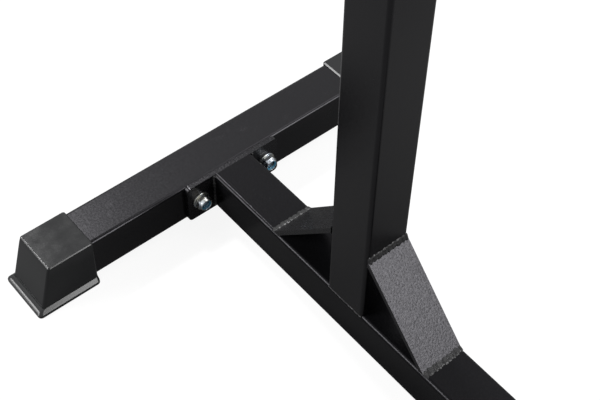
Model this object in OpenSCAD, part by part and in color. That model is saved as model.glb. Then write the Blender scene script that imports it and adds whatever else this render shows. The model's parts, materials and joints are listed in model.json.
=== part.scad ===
// Height-adjustable practice balance beam on two T-shaped floor stands.
// X runs along the beam, Y across it, Z up. The origin is on the floor under the middle of the beam.
// Each stand is drawn once, as the right-hand one: its own +X points out towards the end of the beam,
// and its own origin is on the floor under its post. stand(side) puts it at either end.

/* [Square tube] */
// Width and height of the tube that the floor frame and the fixed post are made of
tube = 50; // [40:1:70]
// Wall of that tube
tube_wall = 2; // [1.5:0.5:4]

/* [Stands] */
// Distance from the middle of the beam to each post
post_x = 850; // [600:10:1050]
// Length of each cross foot tube
foot_len = 442; // [300:2:800]
// Distance from the post's centre to the inner face of the cross foot
post_to_foot = 212; // [170:1:350]
// Distance from the post's centre to the free end of the floor rail
rail_reach = 378; // [200:1:500]
// Height of the tubes above the floor, which is the thickness of the caps' soles
foot_lift = 7.5; // [5:0.5:20]

/* [Flange plates] */
// Thickness of the plate welded to the rail
plate_t = 5; // [3:0.5:10]
// Length of the plate across the rail
plate_len = 120; // [110:1:180]
// Radius of the plate's corners
plate_corner = 5; // [1:0.5:10]
// Distance of each bolt's centre from the plate's end
bolt_inset = 16; // [12:1:20]

/* [Gusset plates] */
// Reach of each gusset along the rail, from the post
gusset_leg = 84.5; // [50:0.5:120]
// Reach of each gusset up the post, from the rail
gusset_rise = 87.5; // [50:0.5:120]
// How far the gussets' edges stand back from the sides of the tubes
gusset_inset = 0.75; // [0:0.25:5]
// Thickness of the gusset plates
gusset_t = 5; // [3:0.5:10]

/* [Foot caps] */
// How far a cap reaches along the tube
cap_grip = 48; // [30:1:70]
// Wall of a cap at its top edge
cap_wall = 2; // [1.5:0.5:5]
// Thickness of a cap over the top of the tube
cap_roof = 2; // [1:0.5:5]
// Wall of a cap across the end of the tube
cap_end = 4.5; // [2:0.5:10]
// How much a cap's sides lean out between top and sole
cap_flare = 1.8; // [0:0.1:6]
// How much a cap's end leans out between top and sole
cap_end_flare = 15.5; // [0:0.5:25]
// How far the sole stands out past the sides
cap_rim = 3.7; // [1:0.1:8]
// How far the sole stands out past the end
cap_end_rim = 7.1; // [1:0.1:10]
// Height of the sole's upright edge
cap_rim_h = 3.5; // [2:0.5:4.5]

/* [Posts and lift] */
// Height of the top of the fixed post above the floor
post_top = 620; // [500:5:900]
// Wall of the plastic bush between the fixed and the sliding post
bush_wall = 2.7; // [2:0.1:6]
// Wall of the sliding post's square tube
inner_wall = 2; // [1.5:0.5:4]
// Distance between the height holes
hole_pitch = 50; // [25:1:60]
// Number of steps that the beam can be raised by
hole_steps = 6; // [1:1:6]
// Gap between the sliding post's glide and the rail with the beam down
rail_clear = 20; // [5:1:25]
// Gap between the sliding post and what guides it
slide_gap = 0.3; // [0.2:0.05:1]
// Height of the bush's collar above the post
bush_collar_h = 6; // [3:0.5:15]
// How far the collar stands out past the post
bush_collar_lip = 3; // [1:0.5:8]
// Length of the bush inside the post
bush_len = 45; // [40:1:50]
// Height of the glide under the sliding post
glide_h = 12; // [6:1:20]

/* [Lock pins] */
// Distance of the pin's axis below the top of the fixed post
pin_drop = 70; // [62:1:90]
// Diameter of the pin's nose
pin_d = 10; // [8:0.5:14]
// Clearance round the nose in its holes, on the radius
pin_gap = 0.2; // [0.1:0.05:0.5]
// Diameter of the pin's shank behind its shoulder
pin_shank_d = 8; // [6:0.5:9]
// Travel of the pin when its knob is pulled
pin_travel = 12; // [11:0.5:14]
// Outer diameter of the welded pin housing
housing_d = 22; // [20:0.5:30]
// Length of the pin housing
housing_len = 32; // [30:1:45]
// Diameter of the pull knob
pull_knob_d = 30; // [24:1:40]
// Length of the pull knob
pull_knob_len = 28; // [22:1:40]
// Diameter of the spring's wire
spring_wire = 1.4; // [1:0.1:1.6]

/* [Clamp knobs] */
// Distance of the clamp screw's axis below the top of the fixed post
clamp_drop = 20; // [15:1:25]
// Outer diameter of the star knob
clamp_knob_d = 50; // [40:1:60]
// Thickness of the star knob
clamp_knob_t = 22; // [15:1:30]
// Number of lobes on the star knob
clamp_lobes = 5; // [4:1:7]

/* [Saddles] */
// Gap between the bush and the saddle plate with the beam down
saddle_gap = 44; // [42:1:80]
// Length of the saddle plate along the beam
saddle_len = 190; // [170:1:260]
// Gap between the saddle plate's edge and the cover's turned-in hem
saddle_side_gap = 2.2; // [1:0.1:5]
// Thickness of the saddle plate
saddle_t = 6; // [4:0.5:10]
// Distance of each bolt's centre from the plate's end
saddle_bolt_inset = 20; // [12:1:25]
// Gap between the ribs and the bush with the beam down
rib_clear = 6; // [3:1:15]
// Length of the ribs
rib_len = 50; // [30:1:54]

/* [Beam] */
// Overall length of the beam
beam_len = 2440; // [2100:10:3000]
// Width of each of the two timber staves
stave_w = 42; // [36:1:60]
// Height of the timber staves
stave_h = 104; // [60:1:160]
// Thickness of the foam on the top, the sides and the ends
foam_t = 8; // [4:0.5:15]
// Radius of the foam's top edges
foam_edge = 10; // [4:0.5:20]
// Thickness of the cover
cover_t = 1.2; // [0.8:0.1:3]
// Width of the cover turned in under the beam
cover_hem = 14; // [10:1:15]

/* [Fasteners] */
// Bolt diameter; heads, nuts and washers follow it
bolt_d = 10; // [8:1:12]
// Thickness of a washer
washer_t = 2; // [1:0.1:3]
// Clearance round a bolt in its hole, on the radius
bolt_gap = 0.5; // [0.25:0.05:1]

/* [Hidden] */

$fn = 48;
hull_fn = 24;
skin = 0.02;
cut = 1;

powder_black = "#232427";
zinc = "#b9bcc0";
nylon_blue = "#3f6f95";
rubber_black = "#2a2b2e";
plastic_black = "#1b1c1e";
timber = "#d2ab76";
foam_grey = "#6d6f72";
suede_tan = "#c3a277";

// Square tube is rolled with an outer corner radius of twice its wall
tube_corner = 2 * tube_wall;
inner_corner = 2 * inner_wall;
inner_tube = tube - 2 * (tube_wall + bush_wall + slide_gap);
half_tube = tube / 2;
half_inner = inner_tube / 2;

// Corner radii of a cap at its top, body and sole, and the bevel round its top
cap_top_r = 2.4;
cap_body_r = 3.5;
cap_rim_r = 5;
cap_top_edge = 0.8;

tube_mid_z = foot_lift + half_tube;
rail_top = foot_lift + tube;
flange_x = post_to_foot - plate_t;
bolt_spacing = plate_len - 2 * bolt_inset;
bore_half = half_tube - tube_wall;
bolt_hole_r = bolt_d / 2 + bolt_gap;
washer_hole_r = bolt_d / 2 + bolt_gap / 2;
fit = 0.05;

// Standard proportions of hexagon bolts, lock nuts and washers
hex_af = 1.6 * bolt_d;
head_h = 0.64 * bolt_d;
nut_hex_h = 0.62 * bolt_d;
nut_h = 0.9 * bolt_d;
washer_d = 2 * bolt_d;

// Flange bolt: from the washer outside the cross foot to just inside the lock nut's nylon ring
nut_grip = nut_hex_h - bolt_gap / 2;
flange_bolt_len = washer_t + tube + plate_t + washer_t + nut_grip;
nut_ring_r = 0.62 * bolt_d;
nut_collar_r = 0.76 * bolt_d;
nut_lip = 0.3;
nut_lip_t = 0.8;
hex_face_r = hex_af / 2 - 0.2;
hex_chamfer = 2;

// Lift
inner_bottom = rail_top + rail_clear + glide_h;
saddle_z = post_top + bush_collar_h + saddle_gap;
stave_z = saddle_z + saddle_t;
pin_z = post_top - pin_drop;
clamp_z = post_top - clamp_drop;
hole_r = pin_d / 2 + pin_gap;
bush_half = half_inner + slide_gap;
glide_half = bore_half - slide_gap;
glide_plug_h = 20;

// Lock pin, measured outwards from the post's axis; pulled, its nose is nose_clear outside the sliding post
nose_clear = 4;
pin_nose = half_inner + nose_clear - pin_travel;
pin_shoulder = half_tube + slide_gap;
shoulder_t = 3;
shoulder_r = pin_shank_d / 2 + 4;
housing_bore_r = shoulder_r + 0.2;
housing_back = 6;
housing_end = half_tube + housing_len;
spring_start = pin_shoulder + shoulder_t;
spring_end = housing_end - housing_back;
spring_r = (pin_shank_d / 2 + housing_bore_r) / 2;
spring_turns = 6;
pull_gap = 1;
pull_bore_depth = 16;
knob_neck = 10;
knob_step = 4;
knob_round = 3;
pin_end = housing_end + pull_gap + pull_bore_depth;

// Clamp screw, measured outwards from the post's axis
clamp_nut_t = 8;
clamp_nut_af = bolt_d + 7;
clamp_hub_gap = 2;
clamp_hub_t = 3;
clamp_hub_r = bolt_d;
clamp_hub_x = half_tube + clamp_nut_t + clamp_hub_gap;
clamp_knob_x = clamp_hub_x + clamp_hub_t;
clamp_bore_depth = 14;
notch_out = 2;
clamp_tip_x = half_inner + slide_gap;

// Beam
core_len = beam_len - 2 * (foam_t + cover_t);
foam_w = 2 * (stave_w + foam_t);
foam_h = stave_h + foam_t;
saddle_corner = 6;
rib_nose = 6;
hem_inner = foam_w / 2 + cover_t - cover_hem;
saddle_w = 2 * (hem_inner - saddle_side_gap);
rib_h = saddle_gap - rib_clear;
insert_len = 25;
insert_r = bolt_d / 2 + 2;
saddle_bolt_len = washer_t + saddle_t + insert_len + 2;  // ends 2 mm past the insert
saddle_bolt_x = saddle_len - 2 * saddle_bolt_inset;
saddle_bolt_y = stave_w / 2;
insert_hole_len = insert_len + 5;  // room for the bolt's end

// A rectangle with round corners, centred on the origin
module round_rect(w, h, r) {
    square([w - 2 * r, h], center = true);
    square([w, h - 2 * r], center = true);
    for (sx = [-1, 1], sy = [-1, 1])
        translate([sx * (w / 2 - r), sy * (h / 2 - r)])
            circle(r);
}

// A square tube of length len that stands on the XY plane
module square_tube(len, w, wall, r) {
    difference() {
        linear_extrude(len)
            round_rect(w, w, r);
        translate([0, 0, -cut])
            linear_extrude(len + 2 * cut)
                round_rect(w - 2 * wall, w - 2 * wall, r - wall);
    }
}

// Turn a shape that stands on the XY plane so that it lies along +X or +Y
module along_x() {
    rotate([0, 90, 0])
        children();
}

module along_y() {
    rotate([-90, 0, 0])
        children();
}

// Put a shape drawn for the right-hand stand at one end of the beam: side is 1 for right, -1 for left
module stand(side) {
    translate([side * post_x, 0, 0])
        mirror([side < 0 ? 1 : 0, 0, 0])
            children();
}

module both_stands() {
    for (side = [-1, 1])
        stand(side)
            children();
}

// ---- Floor frame ----

module cross_foot() {
    color(powder_black)
        difference() {
            translate([post_to_foot + half_tube, -foot_len / 2, tube_mid_z])
                along_y()
                    square_tube(foot_len, tube, tube_wall, tube_corner);
            flange_bolt_places()
                translate([-cut, 0, 0])
                    along_x()
                        cylinder(r = bolt_hole_r, h = tube + 2 * cut);
        }
}

// The places of a stand's two bolts, at the inner face of the cross foot
module flange_bolt_places() {
    for (sy = [-1, 1])
        translate([post_to_foot, sy * bolt_spacing / 2, tube_mid_z])
            children();
}

module floor_rail() {
    color(powder_black)
        translate([-rail_reach, 0, tube_mid_z])
            along_x()
                square_tube(rail_reach + flange_x, tube, tube_wall, tube_corner);
}

module flange_plate() {
    color(powder_black)
        difference() {
            translate([flange_x, 0, tube_mid_z])
                along_x()
                    linear_extrude(plate_t)
                        round_rect(tube, plate_len, plate_corner);
            flange_bolt_places()
                translate([-plate_t - cut, 0, 0])
                    along_x()
                        cylinder(r = bolt_hole_r, h = plate_t + 2 * cut);
        }
}

// A flat plate that slopes from the post down to the rail's top; dir is 1 outwards, -1 inwards
module gusset(dir) {
    slope = sqrt(gusset_leg ^ 2 + gusset_rise ^ 2);
    color(powder_black)
        mirror([dir < 0 ? 1 : 0, 0, 0])
            translate([half_tube, half_tube - gusset_inset, rail_top])
                rotate([90, 0, 0])
                    linear_extrude(tube - 2 * gusset_inset)
                        polygon([
                            [0, gusset_rise], [gusset_leg, 0],
                            [gusset_leg - gusset_t * slope / gusset_rise, 0],
                            [0, gusset_rise - gusset_t * slope / gusset_leg]
                        ]);
}

// A moulded cap for a tube that lies along +X and ends at x = 0, with its underside at z = 0
module tube_cap() {
    top_half = half_tube + cap_wall;
    sole_half = top_half + cap_flare;
    top_z = tube + cap_roof;
    sole_end = cap_end + cap_end_flare;
    mouth = -cap_grip + cap_flare;
    rim_half = sole_half + cap_rim;
    rim_end = sole_end + cap_end_rim;
    edge = cap_top_edge;
    color(rubber_black)
        difference() {
            union() {
                hull() {
                    cap_slab(top_half - edge, -cap_grip + edge, cap_end - edge, top_z - skin, cap_top_r);
                    cap_slab(top_half, -cap_grip, cap_end, top_z - edge, cap_top_r);
                    cap_slab(sole_half, mouth, sole_end, 0, cap_body_r);
                }
                hull() {
                    cap_slab(sole_half, mouth, sole_end, 0, cap_body_r);
                    cap_slab(rim_half, mouth, rim_end, cap_rim_h - foot_lift, cap_rim_r);
                    cap_slab(rim_half, mouth, rim_end, -foot_lift, cap_rim_r);
                }
            }
            translate([-cap_grip - cut, 0, half_tube])
                along_x()
                    linear_extrude(cap_grip + cut)
                        round_rect(tube + 2 * fit, tube + 2 * fit, tube_corner + fit);
        }
}

// One thin level of a cap's outline: half its width, its two ends along X, its height and corner radius
module cap_slab(half_w, x0, x1, z, r) {
    translate([(x0 + x1) / 2, 0, z])
        linear_extrude(skin)
            round_rect(x1 - x0, 2 * half_w, r, $fn = hull_fn);
}

module foot_caps() {
    for (turn = [90, -90])
        translate([post_to_foot + half_tube, 0, foot_lift])
            rotate([0, 0, turn])
                translate([foot_len / 2, 0, 0])
                    tube_cap();
}

module rail_cap() {
    translate([-rail_reach, 0, foot_lift])
        rotate([0, 0, 180])
            tube_cap();
}

// ---- Fasteners ----

// A hexagon of width af across its flats, height h, standing on the XY plane
module hexagon(af, h) {
    cylinder(r = af / sqrt(3), h = h, $fn = 6);
}

// A hexagon bolt with its seat at z = 0 and its shank pointing along +Z
module hex_bolt(len) {
    color(zinc) {
        translate([0, 0, -head_h])
            intersection() {
                hexagon(hex_af, head_h);
                cylinder(r1 = hex_face_r, r2 = hex_face_r + hex_chamfer * head_h, h = head_h);
            }
        cylinder(r = bolt_d / 2, h = len);
    }
}

module washer() {
    color(zinc)
        difference() {
            cylinder(r = washer_d / 2, h = washer_t);
            translate([0, 0, -cut])
                cylinder(r = washer_hole_r, h = washer_t + 2 * cut);
        }
}

// A lock nut whose seat is at z = 0: a hexagon with a round collar that holds a nylon ring
module lock_nut() {
    color(zinc)
        difference() {
            union() {
                intersection() {
                    hexagon(hex_af, nut_hex_h);
                    cylinder(r1 = hex_face_r + hex_chamfer * nut_hex_h, r2 = hex_face_r, h = nut_hex_h);
                }
                cylinder(r1 = nut_collar_r, r2 = nut_collar_r - nut_lip_t, h = nut_h);
            }
            translate([0, 0, -cut])
                cylinder(r = bolt_d / 2 + fit, h = nut_hex_h + 2 * cut);
            translate([0, 0, nut_hex_h])
                cylinder(r = nut_ring_r, h = nut_h - nut_lip_t - nut_hex_h);
            translate([0, 0, nut_h - nut_lip_t - skin])
                cylinder(r = nut_ring_r - nut_lip, h = nut_h);
        }
}

module nut_ring() {
    ring_h = nut_h - nut_lip_t - nut_hex_h;
    color(nylon_blue)
        translate([0, 0, nut_hex_h])
            difference() {
                cylinder(r = nut_ring_r - fit, h = ring_h);
                translate([0, 0, -cut])
                    cylinder(r = bolt_d / 2 - nut_lip, h = ring_h + 2 * cut);
            }
}

module flange_bolts() {
    both_stands()
        flange_bolt_places()
            translate([tube + washer_t, 0, 0])
                rotate([0, -90, 0])
                    hex_bolt(flange_bolt_len);
}

module bolt_head_washers() {
    both_stands()
        flange_bolt_places()
            translate([tube, 0, 0])
                along_x()
                    washer();
}

module nut_washers() {
    both_stands()
        flange_bolt_places()
            translate([-plate_t, 0, 0])
                rotate([0, -90, 0])
                    washer();
}

// Places of the lock nuts, turned so that a nut's seat lies on its washer
module nut_places() {
    both_stands()
        flange_bolt_places()
            translate([-plate_t - washer_t, 0, 0])
                rotate([0, -90, 0])
                    children();
}

module lock_nuts() {
    nut_places()
        lock_nut();
}

module lock_nut_rings() {
    nut_places()
        nut_ring();
}

// ---- Posts ----

module fixed_post() {
    color(powder_black)
        difference() {
            translate([0, 0, rail_top])
                square_tube(post_top - rail_top, tube, tube_wall, tube_corner);
            translate([0, 0, pin_z])
                rotate([90, 0, 0])
                    cylinder(r = hole_r, h = tube);
            translate([0, 0, clamp_z])
                along_x()
                    cylinder(r = bolt_d / 2 + fit, h = tube);
        }
}

module post_bush() {
    collar_w = tube + 2 * bush_collar_lip;
    liner_w = 2 * (bore_half - fit);
    color(plastic_black)
        difference() {
            union() {
                translate([0, 0, post_top])
                    linear_extrude(bush_collar_h)
                        round_rect(collar_w, collar_w, tube_corner + bush_collar_lip);
                translate([0, 0, post_top - bush_len])
                    linear_extrude(bush_len)
                        round_rect(liner_w, liner_w, tube_corner - tube_wall - fit);
            }
            translate([0, 0, post_top - bush_len - cut])
                linear_extrude(bush_len + bush_collar_h + 2 * cut)
                    round_rect(2 * bush_half, 2 * bush_half, inner_corner + slide_gap);
            translate([0, 0, clamp_z])
                along_x()
                    cylinder(r = bolt_d / 2 + bolt_gap, h = tube);
        }
}

module sliding_post() {
    color(powder_black)
        difference() {
            translate([0, 0, inner_bottom])
                square_tube(saddle_z - inner_bottom, inner_tube, inner_wall, inner_corner);
            for (i = [0 : hole_steps])
                translate([0, 0, pin_z - i * hole_pitch])
                    rotate([90, 0, 0])
                        cylinder(r = hole_r, h = inner_tube);
        }
}

module post_glide() {
    plug_half = half_inner - inner_wall - fit;
    plug_r = inner_corner - inner_wall - fit;
    color(plastic_black) {
        translate([0, 0, inner_bottom - glide_h])
            linear_extrude(glide_h)
                round_rect(2 * glide_half, 2 * glide_half, tube_corner - tube_wall);
        translate([0, 0, inner_bottom])
            linear_extrude(glide_plug_h)
                round_rect(2 * plug_half, 2 * plug_half, plug_r);
    }
}

// ---- Saddles ----

module saddle_bolt_places() {
    for (sx = [-1, 1], sy = [-1, 1])
        translate([sx * saddle_bolt_x / 2, sy * saddle_bolt_y, 0])
            children();
}

module saddle_plate() {
    color(powder_black)
        difference() {
            translate([0, 0, saddle_z])
                linear_extrude(saddle_t)
                    round_rect(saddle_len, saddle_w, saddle_corner);
            saddle_bolt_places()
                translate([0, 0, saddle_z - cut])
                    cylinder(r = bolt_hole_r, h = saddle_t + 2 * cut);
        }
}

module saddle_ribs() {
    color(powder_black)
        for (dir = [0, 1])
            mirror([dir, 0, 0])
                translate([half_inner, gusset_t / 2, saddle_z])
                    rotate([90, 0, 0])
                        linear_extrude(gusset_t)
                            polygon([
                                [0, 0], [rib_len, 0], [rib_len, -rib_nose],
                                [rib_nose, -rib_h], [0, -rib_h]
                            ]);
}

module saddle_bolts() {
    both_stands()
        saddle_bolt_places()
            translate([0, 0, saddle_z - washer_t])
                hex_bolt(saddle_bolt_len);
}

module saddle_washers() {
    both_stands()
        saddle_bolt_places()
            translate([0, 0, saddle_z - washer_t])
                washer();
}

module stave_inserts() {
    both_stands()
        saddle_bolt_places()
            color(zinc)
                translate([0, 0, stave_z])
                    difference() {
                        cylinder(r = insert_r, h = insert_len);
                        translate([0, 0, -cut])
                            cylinder(r = bolt_d / 2 + fit, h = insert_len + 2 * cut);
                    }
}

// ---- Lock pins: drawn along +Z from the post's axis, then turned to point out of the front ----

module pin_axis() {
    translate([0, 0, pin_z])
        rotate([90, 0, 0])
            children();
}

module pin_housing() {
    color(powder_black)
        pin_axis()
            translate([0, 0, half_tube])
                difference() {
                    cylinder(r = housing_d / 2, h = housing_len);
                    translate([0, 0, -cut])
                        cylinder(r = housing_bore_r, h = housing_len - housing_back + cut);
                    cylinder(r = pin_shank_d / 2 + fit, h = housing_len + cut);
                }
}

module lock_pin() {
    nose_chamfer = 1.5;
    color(zinc)
        pin_axis() {
            translate([0, 0, pin_nose])
                cylinder(r1 = pin_d / 2 - nose_chamfer, r2 = pin_d / 2, h = nose_chamfer);
            translate([0, 0, pin_nose + nose_chamfer])
                cylinder(r = pin_d / 2, h = pin_shoulder + shoulder_t - pin_nose - nose_chamfer);
            translate([0, 0, pin_shoulder])
                cylinder(r = shoulder_r, h = shoulder_t);
            translate([0, 0, pin_shoulder])
                cylinder(r = pin_shank_d / 2, h = pin_end - pin_shoulder);
        }
}

// A coil spring of round wire: rings of points carried along a helix and joined into one closed skin
module pin_spring() {
    sides = 8;
    per_turn = 12;
    rings = spring_turns * per_turn;
    rise = spring_end - spring_start - spring_wire - 2 * slide_gap;
    lead = atan(rise / (spring_turns * 2 * PI * spring_r));
    z0 = spring_start + spring_wire / 2 + slide_gap;
    points = [
        for (i = [0 : rings], j = [0 : sides - 1])
            let (turn = 360 * i / per_turn, a = 360 * j / sides)
            let (out = spring_wire / 2 * cos(a), up = spring_wire / 2 * sin(a))
            [
                (spring_r + out) * cos(turn) + up * sin(lead) * sin(turn),
                (spring_r + out) * sin(turn) - up * sin(lead) * cos(turn),
                z0 + rise * i / rings + up * cos(lead)
            ]
    ];
    walls = [
        for (i = [0 : rings - 1], j = [0 : sides - 1])
            let (a = i * sides + j, b = i * sides + (j + 1) % sides)
            [a, a + sides, b + sides, b]
    ];
    ends = [
        [for (j = [0 : sides - 1]) j],
        [for (j = [sides - 1 : -1 : 0]) rings * sides + j]
    ];
    color(zinc)
        pin_axis()
            polyhedron(points, concat(walls, ends), convexity = 10);
}

module pull_knob() {
    head_r = pull_knob_d / 2;
    neck_r = head_r - knob_step;
    color(plastic_black)
        pin_axis()
            translate([0, 0, housing_end + pull_gap])
                difference() {
                    union() {
                        cylinder(r = neck_r, h = knob_neck + knob_round);
                        translate([0, 0, knob_neck])
                            rotate_extrude()
                                half_round_rect(head_r, pull_knob_len - knob_neck, knob_round);
                    }
                    translate([0, 0, -cut])
                        cylinder(r = pin_shank_d / 2 + fit / 2, h = pull_bore_depth + cut);
                }
}

// Half a section: from the axis out to r, height h, its outer corners rounded
module half_round_rect(r, h, corner) {
    square([r - corner, h]);
    translate([0, corner])
        square([r, h - 2 * corner]);
    for (y = [corner, h - corner])
        translate([r - corner, y])
            circle(corner);
}

// ---- Clamp knobs: drawn along +Z from the post's axis, then turned to point out of the stand's end ----

module clamp_axis() {
    translate([0, 0, clamp_z])
        along_x()
            children();
}

module clamp_nut() {
    color(powder_black)
        clamp_axis()
            translate([0, 0, half_tube])
                difference() {
                    rotate([0, 0, 30])
                        hexagon(clamp_nut_af, clamp_nut_t);
                    translate([0, 0, -cut])
                        cylinder(r = bolt_d / 2 + fit, h = clamp_nut_t + 2 * cut);
                }
}

module clamp_screw() {
    color(zinc)
        clamp_axis()
            translate([0, 0, clamp_tip_x])
                cylinder(r = bolt_d / 2, h = clamp_hub_x + clamp_bore_depth - clamp_tip_x);
}

module clamp_knob() {
    lobe_r = clamp_knob_d / clamp_lobes;
    lobe_at = clamp_knob_d / 2 - lobe_r;
    notch_at = clamp_knob_d / 2 + notch_out;
    color(plastic_black)
        clamp_axis()
            difference() {
                union() {
                    translate([0, 0, clamp_hub_x])
                        cylinder(r = clamp_hub_r, h = clamp_hub_t + cut);
                    translate([0, 0, clamp_knob_x])
                        linear_extrude(clamp_knob_t)
                            difference() {
                                union() {
                                    circle(lobe_at);
                                    for (i = [0 : clamp_lobes - 1])
                                        rotate(360 * i / clamp_lobes)
                                            translate([lobe_at, 0])
                                                circle(lobe_r);
                                }
                                for (i = [0 : clamp_lobes - 1])
                                    rotate(360 * (i + 0.5) / clamp_lobes)
                                        translate([notch_at, 0])
                                            circle(lobe_r);
                            }
                }
                translate([0, 0, clamp_hub_x - cut])
                    cylinder(r = bolt_d / 2 + fit / 2, h = clamp_bore_depth + cut);
            }
}

// ---- Beam ----

// One stave, from the middle plane out; dir is 1 for the rear, -1 for the front
module stave(dir) {
    color(timber)
        difference() {
            translate([-core_len / 2, dir < 0 ? -stave_w : 0, stave_z])
                cube([core_len, stave_w, stave_h]);
            both_stands()
                saddle_bolt_places()
                    translate([0, 0, stave_z - cut])
                        cylinder(r = insert_r, h = insert_hole_len + cut);
        }
}

module front_stave() {
    stave(-1);
}

module rear_stave() {
    stave(1);
}

// A section across the beam, standing on y = 0, with its two top corners rounded
module beam_section(w, h, r) {
    translate([-w / 2, 0])
        square([w, h - r]);
    translate([-w / 2 + r, 0])
        square([w - 2 * r, h]);
    for (s = [-1, 1])
        translate([s * (w / 2 - r), h - r])
            circle(r);
}

// Carry a section along the beam from x0 for length len
module along_beam(x0, len) {
    translate([x0, 0, stave_z])
        rotate([90, 0, 90])
            linear_extrude(len)
                children();
}

module beam_foam() {
    color(foam_grey)
        along_beam(-core_len / 2, core_len)
            difference() {
                beam_section(foam_w, foam_h, foam_edge);
                translate([-stave_w, -cut])
                    square([2 * stave_w, stave_h + cut]);
            }
}

module end_pads() {
    color(foam_grey)
        for (x0 = [-core_len / 2 - foam_t, core_len / 2])
            along_beam(x0, foam_t)
                beam_section(foam_w, foam_h, foam_edge);
}

module beam_cover() {
    skin_len = beam_len - 2 * cover_t;
    color(suede_tan) {
        along_beam(-skin_len / 2, skin_len)
            difference() {
                cover_section();
                beam_section(foam_w, foam_h, foam_edge);
                translate([-hem_inner, -cover_t - cut])
                    square([2 * hem_inner, cover_t + 2 * cut]);
            }
        for (x0 = [-beam_len / 2, beam_len / 2 - cover_t])
            along_beam(x0, cover_t)
                cover_section();
    }
}

module cover_section() {
    translate([0, -cover_t])
        beam_section(foam_w + 2 * cover_t, foam_h + 2 * cover_t, foam_edge + cover_t);
}

stand(-1) cross_foot();  // left_cross_foot
stand(-1) foot_caps();  // left_foot_caps
stand(-1) rail_cap();  // left_rail_cap
stand(-1) floor_rail();  // left_floor_rail
stand(-1) flange_plate();  // left_flange_plate
stand(-1) fixed_post();  // left_fixed_post
stand(-1) gusset(-1);  // left_inner_gusset
stand(-1) gusset(1);  // left_outer_gusset
stand(-1) post_bush();  // left_post_bush
stand(-1) pin_housing();  // left_pin_housing
stand(-1) clamp_nut();  // left_clamp_nut
stand(-1) sliding_post();  // left_sliding_post
stand(-1) post_glide();  // left_post_glide
stand(-1) saddle_plate();  // left_saddle_plate
stand(-1) saddle_ribs();  // left_saddle_ribs
stand(-1) lock_pin();  // left_lock_pin
stand(-1) pin_spring();  // left_pin_spring
stand(-1) pull_knob();  // left_pull_knob
stand(-1) clamp_screw();  // left_clamp_screw
stand(-1) clamp_knob();  // left_clamp_knob
stand(1) cross_foot();  // right_cross_foot
stand(1) foot_caps();  // right_foot_caps
stand(1) rail_cap();  // right_rail_cap
stand(1) floor_rail();  // right_floor_rail
stand(1) flange_plate();  // right_flange_plate
stand(1) fixed_post();  // right_fixed_post
stand(1) gusset(-1);  // right_inner_gusset
stand(1) gusset(1);  // right_outer_gusset
stand(1) post_bush();  // right_post_bush
stand(1) pin_housing();  // right_pin_housing
stand(1) clamp_nut();  // right_clamp_nut
stand(1) sliding_post();  // right_sliding_post
stand(1) post_glide();  // right_post_glide
stand(1) saddle_plate();  // right_saddle_plate
stand(1) saddle_ribs();  // right_saddle_ribs
stand(1) lock_pin();  // right_lock_pin
stand(1) pin_spring();  // right_pin_spring
stand(1) pull_knob();  // right_pull_knob
stand(1) clamp_screw();  // right_clamp_screw
stand(1) clamp_knob();  // right_clamp_knob
flange_bolts();
bolt_head_washers();
nut_washers();
lock_nuts();
lock_nut_rings();
saddle_bolts();
saddle_washers();
stave_inserts();
front_stave();
rear_stave();
beam_foam();
end_pads();
beam_cover();
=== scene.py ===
"""Visual model of a practice balance beam on two height-adjustable T-footed stands.

Run as a script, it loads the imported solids, gives every one a finish, builds the detailed pieces round
them and sets up a plain studio. The frame is in metres: X along the beam, Y across it, Z up. The shapes
below are worked out in millimetres, and those of a stand in the right-hand stand's own place: X from its
post's axis towards the beam's end.
"""

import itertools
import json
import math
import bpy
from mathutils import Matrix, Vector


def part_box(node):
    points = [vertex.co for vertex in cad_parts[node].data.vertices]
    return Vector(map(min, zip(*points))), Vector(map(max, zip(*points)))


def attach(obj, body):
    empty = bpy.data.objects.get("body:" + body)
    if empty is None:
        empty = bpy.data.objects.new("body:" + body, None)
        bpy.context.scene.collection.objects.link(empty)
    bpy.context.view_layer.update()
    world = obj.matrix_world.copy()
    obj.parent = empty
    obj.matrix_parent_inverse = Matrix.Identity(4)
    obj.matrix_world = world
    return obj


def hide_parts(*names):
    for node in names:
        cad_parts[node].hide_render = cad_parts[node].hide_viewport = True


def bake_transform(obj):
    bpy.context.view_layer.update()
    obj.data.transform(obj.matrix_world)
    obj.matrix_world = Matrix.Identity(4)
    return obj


bl_info = {
    "name": "Practice Balance Beam",
    "version": (1, 0, 0),
    "blender": (4, 5, 0),
    "location": "3D View > Sidebar > Balance Beam",
    "description": "Builds the finish and the detailed pieces of a height-adjustable balance beam",
    "category": "Add Mesh",
}

import bmesh
import bpy
import numpy as np
from mathutils import Matrix, Vector

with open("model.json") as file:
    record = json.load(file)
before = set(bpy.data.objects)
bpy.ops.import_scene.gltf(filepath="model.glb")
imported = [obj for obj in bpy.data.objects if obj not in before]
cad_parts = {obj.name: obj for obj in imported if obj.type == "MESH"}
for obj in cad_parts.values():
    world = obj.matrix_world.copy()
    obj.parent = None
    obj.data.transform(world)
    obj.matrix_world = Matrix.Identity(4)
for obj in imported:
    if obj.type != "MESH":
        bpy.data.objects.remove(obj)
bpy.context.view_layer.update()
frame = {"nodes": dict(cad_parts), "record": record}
MM = 0.001
SIDES = {"left": -1, "right": 1}


def corners(node):
    """Lowest and highest corner of a CAD node, in millimetres."""
    low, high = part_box(node)
    return np.array(low) / MM, np.array(high) / MM


def middle_height(node):
    """Height of the middle of a CAD node, in millimetres."""
    low, high = corners(node)
    return (low[2] + high[2]) / 2


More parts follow.
